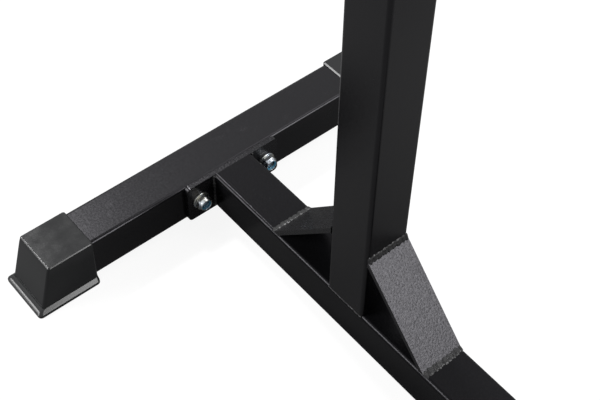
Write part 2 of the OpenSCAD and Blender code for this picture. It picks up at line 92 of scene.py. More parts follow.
# Places and sizes of the CAD solids; PLATE_X, FOOT_X and RAIL_END count from the post's axis
POST_LOW, POST_HIGH = corners("right_fixed_post")
POST_X = (POST_LOW[0] + POST_HIGH[0]) / 2
HALF_TUBE = (POST_HIGH[0] - POST_LOW[0]) / 2
TUBE = 2 * HALF_TUBE
RAIL_TOP = POST_LOW[2]
FOOT_LIFT = RAIL_TOP - TUBE
FOOT_LOW, FOOT_HIGH = corners("right_cross_foot")
PLATE_LOW, PLATE_HIGH = corners("right_flange_plate")
RAIL_END = corners("right_floor_rail")[0][0] - POST_X
PLATE_X = PLATE_LOW[0] - POST_X
FOOT_X = FOOT_LOW[0] - POST_X
BOLT_INSET = 16.0
FLANGE_BOLT_Y = PLATE_HIGH[1] - BOLT_INSET
FLANGE_BOLT_Z = FOOT_LIFT + HALF_TUBE
PIN_Z = middle_height("right_lock_pin")
CLAMP_Z = middle_height("right_clamp_screw")
SADDLE_Z = corners("right_saddle_plate")[0][2]
GUSSET_LOW, GUSSET_HIGH = corners("right_outer_gusset")
COVER_LOW, COVER_HIGH = corners("beam_cover")

# Bolts, nuts and washers of size M10
BOLT_RADIUS = 5.0
ACROSS_FLATS = 16.0
HEAD_HEIGHT = 6.4
WASHER_HOLE = 5.25
WASHER_RADIUS = 10.0
WASHER_THICK = 2.0

# Turned profiles start this far from the axis, so that no ring shrinks to a point
CORE = 0.05
# Edges that turn by more than this, in degrees, are shaded sharp
SHARP_ANGLE = 32.0

# ---------------------------------------------------------------- settings


def colour(name, description, value):
    """A colour setting, in linear light."""
    return bpy.props.FloatVectorProperty(
        name=name, description=description, subtype="COLOR", size=3, min=0.0, max=1.0, default=value
    )


def length(name, description, value):
    """A length setting, given in millimetres and kept in metres."""
    return bpy.props.FloatProperty(
        name=name, description=description, unit="LENGTH", min=0.0, default=value * MM
    )


def amount(name, description, value, low=0.0, high=1.0):
    """A plain number setting."""
    return bpy.props.FloatProperty(name=name, description=description, min=low, max=high, default=value)


def angle(name, description, degrees):
    """An angle setting, given in degrees and kept in radians."""
    return bpy.props.FloatProperty(
        name=name, description=description, subtype="ANGLE", default=math.radians(degrees)
    )


def count(name, description, value, low=1):
    """A whole number setting."""
    return bpy.props.IntProperty(name=name, description=description, min=low, default=value)


class FinishColours(bpy.types.PropertyGroup):
    """Colours of the finishes."""

    powder: colour("Powder coat", "Black powder coat on the steel tubes and plates", (0.004, 0.004, 0.0045))
    cap: colour("Caps", "Moulded black rubber of the end caps", (0.0065, 0.007, 0.0078))
    zinc: colour("Zinc", "Bright zinc plate on nuts, bolts and washers", (0.56, 0.58, 0.60))
    wire: colour("Spring wire", "Oiled spring wire", (0.22, 0.22, 0.23))
    nylon: colour("Nylon ring", "Blue nylon ring in the lock nuts", (0.055, 0.22, 0.33))
    guide: colour("Guides", "Black nylon of the post guides", (0.010, 0.010, 0.011))
    knob: colour("Knobs", "Black plastic of the knobs", (0.008, 0.008, 0.009))
    timber: colour("Timber", "Planed pine of the two staves", (0.56, 0.36, 0.18))
    foam: colour("Foam", "Firm polyethylene foam under the cover", (0.62, 0.60, 0.54))
    suede: colour("Suede", "Sand-coloured suede of the beam cover", (0.42, 0.27, 0.15))
    thread: colour("Thread", "Waxed thread of the cover's stitches", (0.55, 0.42, 0.27))


class PieceSizes(bpy.types.PropertyGroup):
    """Sizes of the detailed pieces."""

    weld: length("Weld leg", "How far a weld bead reaches along each plate", 3.0)
    weld_ripple: length("Weld ripple", "Pitch of the ripples in a weld bead", 2.4)
    cap_edge: length("Cap edge", "Chamfer along the top edges of the end caps", 1.2)
    cap_gap: length("Cap gap", "Gap between an end cap and its tube", 0.4)
    spring_turns: count("Spring turns", "Turns of the lock pin's spring", 6)
    grips: count("Knob grips", "Flutes round the pull knob", 32, 6)
    thread_pitch: length("Thread pitch", "Pitch of the clamp screw's thread", 1.5)
    crown: length("Cover crown", "How far the padded cover may swell at most", 3.0)
    stitch: length("Stitch", "Pitch of the stitches along the cover's end seams", 4.5)
    staple: length("Staple pitch", "Distance from staple to staple under the beam", 58.0)


class StudioSettings(bpy.types.PropertyGroup):
    """Camera, floor and lamps."""

    lens: bpy.props.FloatProperty(
        name="Lens",
        description="Focal length on a 36 mm wide sensor, in millimetres",
        default=71.1,
        min=10.0,
    )
    eye: bpy.props.FloatVectorProperty(
        name="Eye",
        description="Place of the camera",
        subtype="XYZ",
        unit="LENGTH",
        size=3,
        default=(-0.3817, -0.4866, 0.9929),
    )
    heading: angle("Heading", "Turn of the camera from the beam's far side towards its left end", 49.30)
    tilt: angle("Tilt", "How far the camera is raised from looking straight down", 39.87)
    roll: angle("Roll", "Turn of the camera about its own line of sight", 1.11)
    floor_colour: colour("Floor", "Colour of the floor", (0.14, 0.14, 0.14))
    floor_lift: amount("Lift", "Glow that lifts the floor to white for the eye", 0.90)
    # the floor's glow in reflections fades towards the stands, a painted shade of the stands on the floor
    mirror_lift: amount("Mirror lift", "The floor's glow in reflections, away from the stands", 0.20)
    fill: amount("Fill", "Strength of the light from all round", 0.15)


# ---------------------------------------------------------------- surfaces


class Solid:
    """Gathers closed surfaces, in millimetres, and makes them one piece."""

    def __init__(self):
        self.points = []
        self.faces = []
        self.total = 0

    def shell(self, rings, loop=False):
        """Closed surface through rings[i, j], where j runs round each ring: four-cornered faces between
        neighbouring rings and a flat face over the first and the last ring, or, as a loop, the last ring
        joined to the first. It is wound so that the volume it encloses is positive."""
        n, m = rings.shape[:2]
        points = np.asarray(rings, float).reshape(-1, 3)
        i, j = np.meshgrid(np.arange(n if loop else n - 1), np.arange(m), indexing="ij")
        i2, j2 = (i + 1) % n, (j + 1) % m
        quads = np.stack([i * m + j, i * m + j2, i2 * m + j2, i2 * m + j], -1).reshape(-1, 4)
        caps = [] if loop else [np.arange(m)[::-1], (n - 1) * m + np.arange(m)]
        a, b, c, d = (points[quads[:, k]] for k in range(4))
        volume = np.sum(a * np.cross(b, c)) + np.sum(a * np.cross(c, d))
        for cap in caps:
            ring = points[cap]
            volume += np.sum(ring[0] * np.cross(ring[1:-1], ring[2:]))
        if volume < 0:
            quads = quads[:, ::-1]
            caps = [cap[::-1] for cap in caps]
        self.points.append(points)
        self.faces += (quads + self.total).tolist() + [(cap + self.total).tolist() for cap in caps]
        self.total += len(points)

    def make(self, name, material, sharp=SHARP_ANGLE):
        """The piece as a mesh object at the origin, smooth except at edges sharper than `sharp` degrees."""
        mesh = bpy.data.meshes.new(name)
        mesh.from_pydata(np.concatenate(self.points) * MM, [], self.faces)
        return finished(mesh, name, material, sharp)


def true_flats(piece):
    """Shade the piece with normals weighted by face area, so that wide flat faces look flat between their
    rounded edges."""
    weighted = piece.modifiers.new("true_flats", "WEIGHTED_NORMAL")
    weighted.keep_sharp = True
    apply_modifiers(piece)


def worn_edges(piece, steepest=0.40, flattest=0.9995):
    """The attribute `worn`: 1 on the faces that slope between level and upright, which is where a moulding
    is rubbed dull, and 0 elsewhere. A face's slope is the height of its unit normal, up or down."""
    normals = np.empty(len(piece.data.polygons) * 3)
    piece.data.polygons.foreach_get("normal", normals)
    slope = np.abs(normals.reshape(-1, 3)[:, 2])
    worn = piece.data.attributes.new("worn", "FLOAT", "FACE")
    worn.data.foreach_set("value", ((slope > steepest) & (slope < flattest)).astype(np.float32))


def finished(mesh, name, material, sharp):
    """An object for the mesh, with one material and its edges sharp or smooth."""
    mesh.polygons.foreach_set("use_smooth", np.ones(len(mesh.polygons), bool))
    mesh.set_sharp_from_angle(angle=math.radians(sharp))
    mesh.materials.append(material)
    mesh.update()
    piece = bpy.data.objects.new(name, mesh)
    bpy.context.scene.collection.objects.link(piece)
    return piece


def place(piece, body, slot, *nodes):
    """Let the piece ride on a body and stand for CAD nodes, which it hides; the finish slot is not used."""
    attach(piece, body)
    if nodes:
        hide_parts(*nodes)
    return piece


def stand(side, points):
    """From a stand's own place to the frame: X counts from the post's axis, outwards on either side."""
    out = np.array(points, float)
    out[..., 0] = side * (POST_X + out[..., 0])
    return out


def unit(v):
    """The vectors at length one."""
    v = np.asarray(v, float)
    return v / np.linalg.norm(v, axis=-1, keepdims=True)


def lying(outline, z):
    """An outline laid level at height z."""
    return np.column_stack([outline, np.full(len(outline), z)])


def standing(outline, x):
    """An outline stood across the beam at x."""
    return np.column_stack([np.full(len(outline), x), outline])


def turned(profile, base, axis, around=48, outline=None, twist=0.0):
    """Surface of turning: a profile of (radius, height) carried round an axis. Each point is the base, plus
    height along the axis, plus the radius times the unit circle across it. An outline, if given, less the
    profile's third number, caps the radius at each angle, which makes a prism with turned ends. twist turns
    the outline."""
    axis = unit(axis)
    helper = np.array((0.0, 0.0, 1.0)) if abs(axis[2]) < 0.9 else np.array((1.0, 0.0, 0.0))
    e1 = unit(np.cross(helper, axis))
    e2 = np.cross(axis, e1)
    angle = np.linspace(0, 2 * np.pi, around, endpoint=False)
    profile = np.asarray(profile, float)
    radius = np.repeat(profile[:, :1], around, 1)
    if outline is not None:
        inset = profile[:, 2:3] if profile.shape[1] > 2 else 0.0
        radius = np.minimum(radius, outline(angle)[None, :] - inset)
    circle = np.cos(angle + twist)[:, None] * e1 + np.sin(angle + twist)[:, None] * e2
    return np.asarray(base, float) + profile[:, 1, None, None] * axis + radius[..., None] * circle


def rounding(radius, height, edge):
    """Quarter round of a profile: the points (radius - edge + edge sin a, height - edge + edge cos a)."""
    a = np.radians(np.linspace(0.0, 90.0, 5))
    return list(zip(radius - edge + edge * np.sin(a), height - edge + edge * np.cos(a)))


def arc(r, h, across, up, degrees):
    """Arc of a profile: the points (r + across sin a, h + up cos a)."""
    return [(r + across * math.sin(a), h + up * math.cos(a)) for a in np.radians(degrees)]


def disc_profile(radius, low, high, edge):
    """Profile of a round plate with rounded rims, from the middle of its lower face to that of its upper."""
    upper = rounding(radius, high, edge)
    lower = [(r, low + high - h) for r, h in upper]
    return [(CORE, low)] + lower + upper[::-1] + [(CORE, high)]


def ring_profile(inner, outer, low, high, edge):
    """Closed profile of a flat ring with rounded rims."""
    mid = (inner + outer) / 2
    upper = rounding(outer - mid, high, edge)
    lower = [(r, low + high - h) for r, h in upper]
    outside = [(mid + r, h) for r, h in lower + upper[::-1]]
    inside = [(mid - r, h) for r, h in upper + lower[::-1]]
    return outside + inside


def hexagon(across_flats, soft=0.35):
    """Outline of a hexagon as radius against angle: half the width over the cosine of the angle from the
    nearest flat's middle, held back a little at the corners."""

    def outline(angle):
        off = np.mod(angle + np.pi / 6, np.pi / 3) - np.pi / 6
        return np.minimum(across_flats / 2 / np.cos(off), across_flats / math.sqrt(3) - soft)

    return outline


def rounded_box(x0, x1, y0, y1, r):
    """Outline of a rectangle with rounded corners: at each, its centre plus r times the unit circle."""
    a = np.radians(np.linspace(0, 90, 6))
    x, y = r * np.cos(a), r * np.sin(a)
    cx = (x1 - r, x0 + r, x0 + r, x1 - r)
    cy = (y1 - r, y1 - r, y0 + r, y0 + r)
    turn = ((x, y), (-y, x), (-x, -y), (y, -x))
    return np.concatenate([np.stack([cx[k] + turn[k][0], cy[k] + turn[k][1]], -1) for k in range(4)])


def swept(path, section, up):
    """A section carried along a path: each point is the path's point plus the section's two numbers along
    the direction across the path and along `up` made square to it."""
    path = np.asarray(path, float)
    ahead = unit(np.gradient(path, axis=0))
    up = np.asarray(up, float) * np.ones_like(path)
    across = unit(np.cross(ahead, up))
    top = np.cross(across, ahead)
    section = np.repeat(np.asarray(section, float)[None], len(path), 0)
    return path[:, None] + section[..., :1] * across[:, None] + section[..., 1:] * top[:, None]


def run_length(path):
    """How far each point of a path lies from its start, measured along it."""
    return np.concatenate([[0], np.cumsum(np.linalg.norm(np.diff(path, axis=0), axis=1))])


def at_lengths(places, run, values):
    """Points or directions given along a path, or one for all of it, read at other lengths along it."""
    values = np.broadcast_to(values, (len(run), 3))
    return np.stack([np.interp(places, run, values[:, k]) for k in range(3)], -1)


def waves(x, seed, octaves=4):
    """Smooth seeded unevenness from -1 to 1: a sum of products of a sine and a cosine of x, each product
    finer and lower than the one before, with seeded phases."""
    phase = np.random.default_rng(seed).uniform(0, 2 * np.pi, (octaves, 2))
    total = 0.0
    for k in range(octaves):
        sine, cosine = np.sin(x * (1.7**k) + phase[k, 0]), np.cos(x * 0.61 * (1.9**k) + phase[k, 1])
        total = total + sine * cosine / (k + 1)
    return total / sum(1 / (k + 1) for k in range(octaves))


def bead(solid, path, first, second, leg, ripple, seed, closed=False):
    """A weld bead along a path: a rounded fillet from one plate to the other, whose two legs swell and
    shrink with half-moon ripples, rounder drops a few ripples apart and a slow seeded unevenness, each leg
    in its own way. first and second point away from the path along the plates. Each point of the bead's face
    is the path's point plus size times bow times (cos a along first, sin a along second), for a from plate
    to plate; the root lies a little behind the path."""
    path = np.asarray(path, float)
    run = run_length(path)
    steps = max(8, int(run[-1] / (ripple / 6)))
    at = np.linspace(0, run[-1], steps, endpoint=not closed)
    path, first, second = (at_lengths(at, run, values) for values in (path, first, second))
    wobble = waves(at / 5.0, seed)
    saw = np.mod(at / ripple + 0.35 * wobble, 1.0)
    drops = np.abs(np.sin(np.pi * at / (2.3 * ripple) + 1.6 * wobble))
    size = leg * (0.74 + 0.14 * (1 - saw) ** 0.5 + 0.34 * drops)
    if not closed:
        size = size * np.minimum(1, (0.35 + np.minimum(at, at[-1] - at) / (0.8 * leg)) ** 0.5)
    a = np.radians(np.linspace(-8, 98, 9))
    bow = (1 + 0.10 * np.sin(2 * np.clip(a, 0, np.pi / 2))) * (0.76 + 0.24 * np.abs(np.cos(2 * a)))
    uneven = [1 + 0.22 * waves(at / 3.0, seed + shift)[:, None] for shift in (500, 900)]
    u = uneven[0] * bow * np.maximum(np.cos(a), -0.15)
    v = uneven[1] * bow * np.maximum(np.sin(a), -0.15)
    legs = u[..., None] * first[:, None] + v[..., None] * second[:, None]
    outer = path[:, None] + size[:, None, None] * legs
    root = path[:, None] - 0.3 * (first + second)[:, None]
    solid.shell(np.concatenate([outer, root], 1), loop=closed)


def line(a, b):
    """Straight path from a to b."""
    return np.array((a, b), float)


def apply_modifiers(piece):
    """Make the modifiers' result the piece's own mesh."""
    graph = bpy.context.evaluated_depsgraph_get()
    mesh = bpy.data.meshes.new_from_object(piece.evaluated_get(graph))
    piece.modifiers.clear()
    old = piece.data
    piece.data = mesh
    bpy.data.meshes.remove(old)


# ---------------------------------------------------------------- materials


class Nodes:
    """Builds the node tree of a material or a world."""

    def __init__(self, owner, output="ShaderNodeOutputMaterial"):
        owner.use_nodes = True
        self.owner = owner
        self.tree = owner.node_tree
        self.tree.nodes.clear()
        self.output = self.add(output)

    def add(self, kind, inputs=None, **settings):
        """A node with its settings; an input is a value or the socket that feeds it."""
        node = self.tree.nodes.new(kind)
        for key, value in settings.items():
            setattr(node, key, value)
        for key, value in (inputs or {}).items():
            if isinstance(value, bpy.types.NodeSocket):
                self.tree.links.new(value, node.inputs[key])
            else:
                node.inputs[key].default_value = value
        return node

    def link(self, out, to):
        """One wire."""
        self.tree.links.new(out, to)

    def where(self, stretch=(1.0, 1.0, 1.0)):
        """Place on the piece, in metres, stretched along the axes."""
        place_in = self.add("ShaderNodeTexCoord").outputs["Object"]
        if stretch == (1.0, 1.0, 1.0):
            return place_in
        return self.add("ShaderNodeMapping", {"Vector": place_in, "Scale": stretch}).outputs["Vector"]

    def noise(self, scale, detail=2.0, rough=0.5, vector=None):
        """Cloudy unevenness from 0 to 1; scale is in lumps per metre."""
        vector = vector or self.where()
        inputs = {"Vector": vector, "Scale": scale, "Detail": detail, "Roughness": rough}
        return self.add("ShaderNodeTexNoise", inputs).outputs["Fac"]

    def between(self, value, low, high, start=0.0, end=1.0):
        """The value carried from start..end to low..high."""
        inputs = {"Value": value, "From Min": start, "From Max": end, "To Min": low, "To Max": high}
        return self.add("ShaderNodeMapRange", inputs).outputs["Result"]

    def mix(self, factor, a, b, **settings):
        """Two colours mixed; each is a colour or the socket that gives it."""
        inputs = {"Factor": factor, "A": a, "B": b}
        return self.add("ShaderNodeMix", inputs, data_type="RGBA", **settings).outputs["Result"]

    def tint(self, value, a, b):
        """Colour between a and b."""
        return self.mix(value, rgba(a), rgba(b))

    def bump(self, height, strength, distance, under=None):
        """A normal roughened by a height, over the normal `under`; distance is its depth in metres."""
        inputs = {"Height": height, "Strength": strength, "Distance": distance}
        if under is not None:
            inputs["Normal"] = under
        return self.add("ShaderNodeBump", inputs).outputs["Normal"]

    def surface(self, **inputs):
        """The finished shader; the names are those of its sockets, with _ for a space."""
        named = {key.replace("_", " "): value for key, value in inputs.items()}
        shader = self.add("ShaderNodeBsdfPrincipled", named)
        self.link(shader.outputs[0], self.output.inputs["Surface"])
        return self.owner


def rgba(c):
    """The colour, opaque."""
    return (c[0], c[1], c[2], 1.0)


def shade(c, factor):
    """The colour made lighter or darker."""
    return tuple(min(1.0, x * factor) for x in c[:3])


def new_material(name):
    """The empty node tree of a new material."""
    return Nodes(bpy.data.materials.new(name))


def powder_coat(name, c, level, gloss, peel_depth=0.0004, grain_depth=0.0004):
    """Fine-textured black powder coat: grains of differing gloss on a faint orange peel, with dull smudges.
    gloss is the least and the greatest roughness."""
    n = new_material(name)
    grain = n.noise(520.0, 2.0, 0.6)
    cloud = n.noise(9.0, 4.0)
    smudge = n.between(n.noise(38.0, 5.0, 0.65), 0.0, 1.0, 0.60, 0.74)
    rough = n.between(grain, gloss[0], gloss[1], 0.3, 0.7)
    rough = n.add("ShaderNodeMath", {0: smudge, 1: 0.06, 2: rough}, operation="MULTIPLY_ADD").outputs[0]
    tone = n.tint(grain, shade(c, 0.55), shade(c, 1.45))
    tone = n.mix(cloud, tone, rgba(shade(c, 1.3)))
    peel = n.bump(n.noise(230.0, 1.0), 0.25, peel_depth)
    return n.surface(
        Base_Color=tone,
        Roughness=rough,
        Specular_IOR_Level=level,
        Specular_Tint=(0.95, 0.93, 1.0, 1.0),
        Normal=n.bump(grain, 0.5, grain_depth, peel),
    )


def weld_coat(c):
    """The same coat over weld metal: thinner on the crests, so it is glossier and more uneven."""
    n = new_material("weld_coat_finish")
    grain = n.noise(700.0, 3.0, 0.6)
    lump = n.noise(260.0, 2.0)
    return n.surface(
        Base_Color=n.tint(lump, shade(c, 0.8), shade(c, 2.2)),
        Roughness=n.between(grain, 0.24, 0.40, 0.3, 0.7),
        Specular_IOR_Level=0.45,
        Normal=n.bump(grain, 0.5, 0.0002, n.bump(lump, 0.7, 0.0015)),
    )


def moulded(name, c, gloss, grain=900.0, depth=0.00015, level=0.5, worn=None):
    """Moulded plastic or rubber: a fine spark-eroded skin of even colour, a little cloudy, with rubbed
    patches. gloss is the least and the greatest roughness, worn the roughness of the worn faces."""
    n = new_material(name)
    skin = n.noise(grain, 2.0, 0.6)
    cloud = n.noise(16.0, 4.0)
    rubbed = n.noise(70.0, 4.0, 0.6)
    rough = n.between(rubbed, gloss[0], gloss[1], 0.3, 0.7)
    if worn is not None:
        edge = n.add("ShaderNodeAttribute", attribute_name="worn").outputs["Fac"]
        rough = n.between(edge, rough, worn)
    return n.surface(
        Base_Color=n.tint(cloud, shade(c, 0.75), shade(c, 1.3)),
        Roughness=rough,
        Specular_IOR_Level=level,
        Normal=n.bump(skin, 0.35, depth),
    )


def zinc_plate(c):
    """Bright zinc plate: metal with faint blue and straw clouds, fine scratches and a slight orange peel."""
    n = new_material("zinc_plate_finish")
    cloud = n.noise(120.0, 3.0)
    scratch = n.noise(420.0, 3.0, 0.7, n.where((1.0, 1.0, 9.0)))
    blue = (c[0] * 0.90, c[1] * 0.96, c[2] * 1.04)
    straw = (c[0] * 1.04, c[1], c[2] * 0.88)
    return n.surface(
        Base_Color=n.tint(n.between(cloud, 0.0, 1.0, 0.35, 0.65), blue, straw),
        Metallic=1.0,
        Roughness=n.between(scratch, 0.16, 0.36, 0.3, 0.7),
        Normal=n.bump(scratch, 0.25, 0.0001, n.bump(n.noise(500.0), 0.3, 0.0002)),
    )


def spring_wire(c):
    """Oiled spring wire: dark metal with drawing marks and darker oily spots."""
    n = new_material("spring_wire_finish")
    spot = n.noise(260.0, 4.0, 0.6)
    return n.surface(
        Base_Color=n.tint(spot, shade(c, 0.6), shade(c, 1.3)),
        Metallic=1.0,
        Roughness=n.between(spot, 0.22, 0.42, 0.3, 0.7),
        Normal=n.bump(n.noise(1600.0, 2.0), 0.3, 0.0001),
    )


def planed_timber(c):
    """Planed pine: growth rings as wavy bands along the beam, fine pores and a slow change of tone."""
    n = new_material("timber_finish")
    warp = n.noise(1.0, 3.0, 0.5, n.where((1.6, 14.0, 14.0)))
    along = n.where((0.35, 1.0, 1.0))
    inputs = {"Fac": 0.10, "Color1": along, "Color2": warp}
    bent = n.add("ShaderNodeMixRGB", inputs, blend_type="ADD").outputs[0]
    rings = n.add(
        "ShaderNodeTexWave",
        {"Vector": bent, "Scale": 34.0, "Distortion": 2.2, "Detail": 2.0, "Detail Scale": 1.5},
        bands_direction="Z",
        wave_profile="SAW",
    ).outputs["Fac"]
    pores = n.noise(900.0, 2.0, 0.6, n.where((0.04, 1.0, 1.0)))
    early, late = shade(c, 1.12), (c[0] * 0.62, c[1] * 0.50, c[2] * 0.36)
    wood = n.tint(n.between(rings, 0.0, 0.75), early, late)
    fine = n.tint(n.between(pores, 0.0, 1.0, 0.3, 0.7), (0.72, 0.72, 0.72), (1.0, 1.0, 1.0))
    return n.surface(
        Base_Color=n.mix(1.0, wood, fine, blend_type="MULTIPLY"),
        Roughness=n.between(rings, 0.48, 0.62),
        Normal=n.bump(pores, 0.3, 0.0002, n.bump(rings, 0.15, 0.0003)),
    )


def closed_foam(c):
    """Closed-cell foam: small round cells over soft clouds of tone."""
    n = new_material("foam_finish")
    cells = n.add("ShaderNodeTexVoronoi", {"Vector": n.where(), "Scale": 700.0}).outputs["Distance"]
    cloud = n.noise(30.0, 3.0)
    return n.surface(
        Base_Color=n.tint(cloud, shade(c, 0.85), shade(c, 1.08)),
        Roughness=n.between(cells, 0.7, 0.95),
        Normal=n.bump(cells, 0.5, 0.0006),
    )


def brushed_suede(c):
    """Suede with a short nap: hand-sized patches where the nap lies lighter or darker, a mottled hide under
    it and fine fibres on top, with a soft sheen."""
    n = new_material("suede_finish")
    patch = n.between(n.noise(11.0, 4.0, 0.6, n.where((0.7, 1.2, 1.0))), 0.0, 1.0, 0.34, 0.66)
    hide = n.noise(150.0, 4.0, 0.65)
    fibre = n.noise(1500.0, 3.0, 0.7, n.where((0.6, 1.0, 1.0)))
    laid = n.tint(patch, shade(c, 0.86), shade(c, 1.12))
    mottle = n.tint(n.between(hide, 0.0, 1.0, 0.3, 0.7), (0.86, 0.85, 0.84), (1.0, 1.0, 1.0))
    nap = n.tint(n.between(fibre, 0.0, 1.0, 0.3, 0.7), (0.74, 0.73, 0.72), (1.0, 1.0, 1.0))
    for layer in (mottle, nap):
        laid = n.mix(1.0, laid, layer, blend_type="MULTIPLY")
    return n.surface(
        Base_Color=laid,
        Roughness=n.between(fibre, 0.82, 0.97),
        Specular_IOR_Level=0.25,
        Sheen_Weight=0.35,
        Sheen_Roughness=0.5,
        Sheen_Tint=rgba(shade(c, 1.6)),
        Normal=n.bump(fibre, 0.5, 0.0005, n.bump(hide, 0.25, 0.0008)),
    )


def waxed_thread(c):
    """Twisted waxed thread: slanting plies with a dull shine."""
    n = new_material("thread_finish")
    inputs = {"Vector": n.where(), "Scale": 620.0, "Distortion": 1.5}
    plies = n.add("ShaderNodeTexWave", inputs, bands_direction="DIAGONAL").outputs["Fac"]
    return n.surface(
        Base_Color=n.tint(plies, shade(c, 0.7), shade(c, 1.1)),
        Roughness=n.between(plies, 0.5, 0.7),
        Normal=n.bump(plies, 0.5, 0.0002),
    )


MATERIALS = {}


def material(name):
    """A finish by its name, made once."""
    if name not in MATERIALS:
        c = bpy.context.scene.beam_colours
        MATERIALS[name] = {
            "powder_coat": lambda: powder_coat("powder_coat_finish", c.powder, 0.26, (0.16, 0.36)),
            "tube_coat": lambda: powder_coat(
                "tube_coat_finish", c.powder, 0.24, (0.18, 0.26), peel_depth=0.00012, grain_depth=0.00005
            ),
            "rail_coat": lambda: powder_coat(
                "rail_coat_finish", c.powder, 0.11, (0.18, 0.26), peel_depth=0.0002, grain_depth=0.0002
            ),
            "weld": lambda: weld_coat(c.powder),
            "cap_rubber": lambda: moulded(
                "cap_rubber_finish", c.cap, (0.08, 0.13), 900.0, depth=0.000006, level=0.40, worn=0.25
            ),
            "zinc_plate": lambda: zinc_plate(c.zinc),
            "spring_steel": lambda: spring_wire(c.wire),
            "nylon_blue": lambda: moulded("nylon_finish", c.nylon, (0.3, 0.45)),
            "guide_plastic": lambda: moulded("guide_finish", c.guide, (0.34, 0.48), 1100.0),
            "knob_plastic": lambda: moulded("knob_finish", c.knob, (0.30, 0.46), 1300.0, 0.0003),
            "timber": lambda: planed_timber(c.timber),
            "foam": lambda: closed_foam(c.foam),
            "suede": lambda: brushed_suede(c.suede),
            "thread": lambda: waxed_thread(c.thread),
        }[name]()
    return MATERIALS[name]


def paint(obj, finish):
    """Give every face of the object one material."""
    obj.data.materials.clear()
    obj.data.materials.append(finish)


# ---------------------------------------------------------------- stage


def seen_or_mirrored(n):
    """1 for rays from the eye and for mirrored or refracted ones, 0 for rays that light a dull surface."""
    path = n.add("ShaderNodeLightPath").outputs
    ray = path["Is Camera Ray"]
    for other in ("Is Glossy Ray", "Is Transmission Ray"):
        ray = n.add("ShaderNodeMath", {0: ray, 1: path[other]}, operation="MAXIMUM").outputs[0]
    return ray


def floor_material(s):
    """Pale floor: for the eye it is lifted to white and keeps a faint shadow; in reflections its glow is
    dimmed near the stands, which paints their shade on the floor; it lights the object as a plain diffuse
    surface of its own colour. From below it is clear, so the soles can be seen."""
    n = new_material("studio_floor")
    n.owner.cycles.emission_sampling = "NONE"
    diffuse = n.add("ShaderNodeBsdfDiffuse", {"Color": rgba(s.floor_colour)})
    seen = n.add("ShaderNodeLightPath").outputs["Is Camera Ray"]
    side = n.add("ShaderNodeVectorMath", {0: n.where()}, operation="ABSOLUTE").outputs["Vector"]
    foot = (POST_X * MM, 0.0, 0.0)
    away = n.add("ShaderNodeVectorMath", {0: side, 1: foot}, operation="DISTANCE").outputs["Value"]
    # in reflections the glow fades from far to near the stands: painted shade of the stands on the floor
    near, far = 0.10, 0.45
    mirrored = n.between(away, 0.0, s.mirror_lift, near, far)
    glow = n.add("ShaderNodeEmission", {"Strength": n.between(seen, mirrored, s.floor_lift)})
    both = n.add("ShaderNodeAddShader", {0: diffuse.outputs[0], 1: glow.outputs[0]})
    inputs = {"Fac": seen_or_mirrored(n), 1: diffuse.outputs[0], 2: both.outputs[0]}
    lit = n.add("ShaderNodeMixShader", inputs)
    below = n.add("ShaderNodeNewGeometry").outputs["Backfacing"]
    clear = n.add("ShaderNodeBsdfTransparent")
    open_below = n.add("ShaderNodeMixShader", {"Fac": below, 1: lit.outputs[0], 2: clear.outputs[0]})
    n.link(open_below.outputs[0], n.output.inputs["Surface"])
    return n.owner


def studio_world(fill):
    """White all round for the eye and in reflections, a soft grey fill as light."""
    world = bpy.data.worlds.new("studio_world")
    n = Nodes(world, "ShaderNodeOutputWorld")
    world.cycles.sampling_method = "NONE"
    grey = n.add("ShaderNodeBackground", {"Color": (fill, fill, fill, 1)})
    white = n.add("ShaderNodeBackground", {"Color": (1, 1, 1, 1)})
    inputs = {"Fac": seen_or_mirrored(n), 1: grey.outputs[0], 2: white.outputs[0]}
    n.link(n.add("ShaderNodeMixShader", inputs).outputs[0], n.output.inputs["Surface"])
    return world


def soft_lamp(name, towards, level, width):
    """A wide soft lamp far off in one direction; level is how bright it lights a white surface facing it."""
    data = bpy.data.lights.new(name, "SUN")
    data.energy = math.pi * level
    data.angle = math.radians(width)
    lamp = bpy.data.objects.new(name, data)
    bpy.context.scene.collection.objects.link(lamp)
    lamp.rotation_mode = "QUATERNION"
    lamp.rotation_quaternion = Vector(towards).to_track_quat("Z", "Y")


# Name, direction towards the lamp, brightness on a white surface that faces it, and width in degrees
LAMPS = (
    ("lamp_right_back", (0.81, 0.35, 0.47), 0.60, 28.0),
    ("lamp_high_left", (-0.60, 0.10, 0.79), 0.62, 6.0),
    ("lamp_high_back", (0.05, 0.52, 0.85), 0.15, 26.0),
    ("lamp_front", (-0.43, -0.78, 0.46), 0.85, 26.0),
)


class BEAM_OT_studio(bpy.types.Operator):
    """Lay the floor, hang the lamps and place the camera"""

    bl_idname = "beam.studio"
    bl_label = "Studio"

    def execute(self, context):
        s = context.scene.beam_studio
        reach = 60.0
        square = [(-reach, -reach, 0), (reach, -reach, 0), (reach, reach, 0), (-reach, reach, 0)]
        mesh = bpy.data.meshes.new("studio_floor")
        mesh.from_pydata(square, [], [(0, 1, 2, 3)])
        floor = bpy.data.objects.new("studio_floor", mesh)
        context.scene.collection.objects.link(floor)
        paint(floor, floor_material(s))
        for name, towards, level, width in LAMPS:
            soft_lamp(name, towards, level, width)
        context.scene.world = studio_world(s.fill)

        camera = bpy.data.objects.new("studio_camera", bpy.data.cameras.new("studio_camera"))
        context.scene.collection.objects.link(camera)
        turn = Matrix.Rotation(s.heading, 4, "Z") @ Matrix.Rotation(s.tilt, 4, "X")
        turn = turn @ Matrix.Rotation(s.roll, 4, "Z")
        camera.matrix_world = Matrix.Translation(s.eye) @ turn
        camera.data.sensor_width = 36.0
        camera.data.lens = s.lens
        camera.data.clip_start = 0.01
        camera.data.clip_end = 200.0
        context.scene.camera = camera
        context.scene.view_settings.view_transform = "Standard"
        return {"FINISHED"}


# ---------------------------------------------------------------- pieces of the stands


# The tubes' coat lies smoother than the plates', and the rails' is a little duller
TUBE_FINISH = {
    "cross_foot": "tube_coat",
    "fixed_post": "tube_coat",
    "sliding_post": "tube_coat",
    "floor_rail": "rail_coat",
}


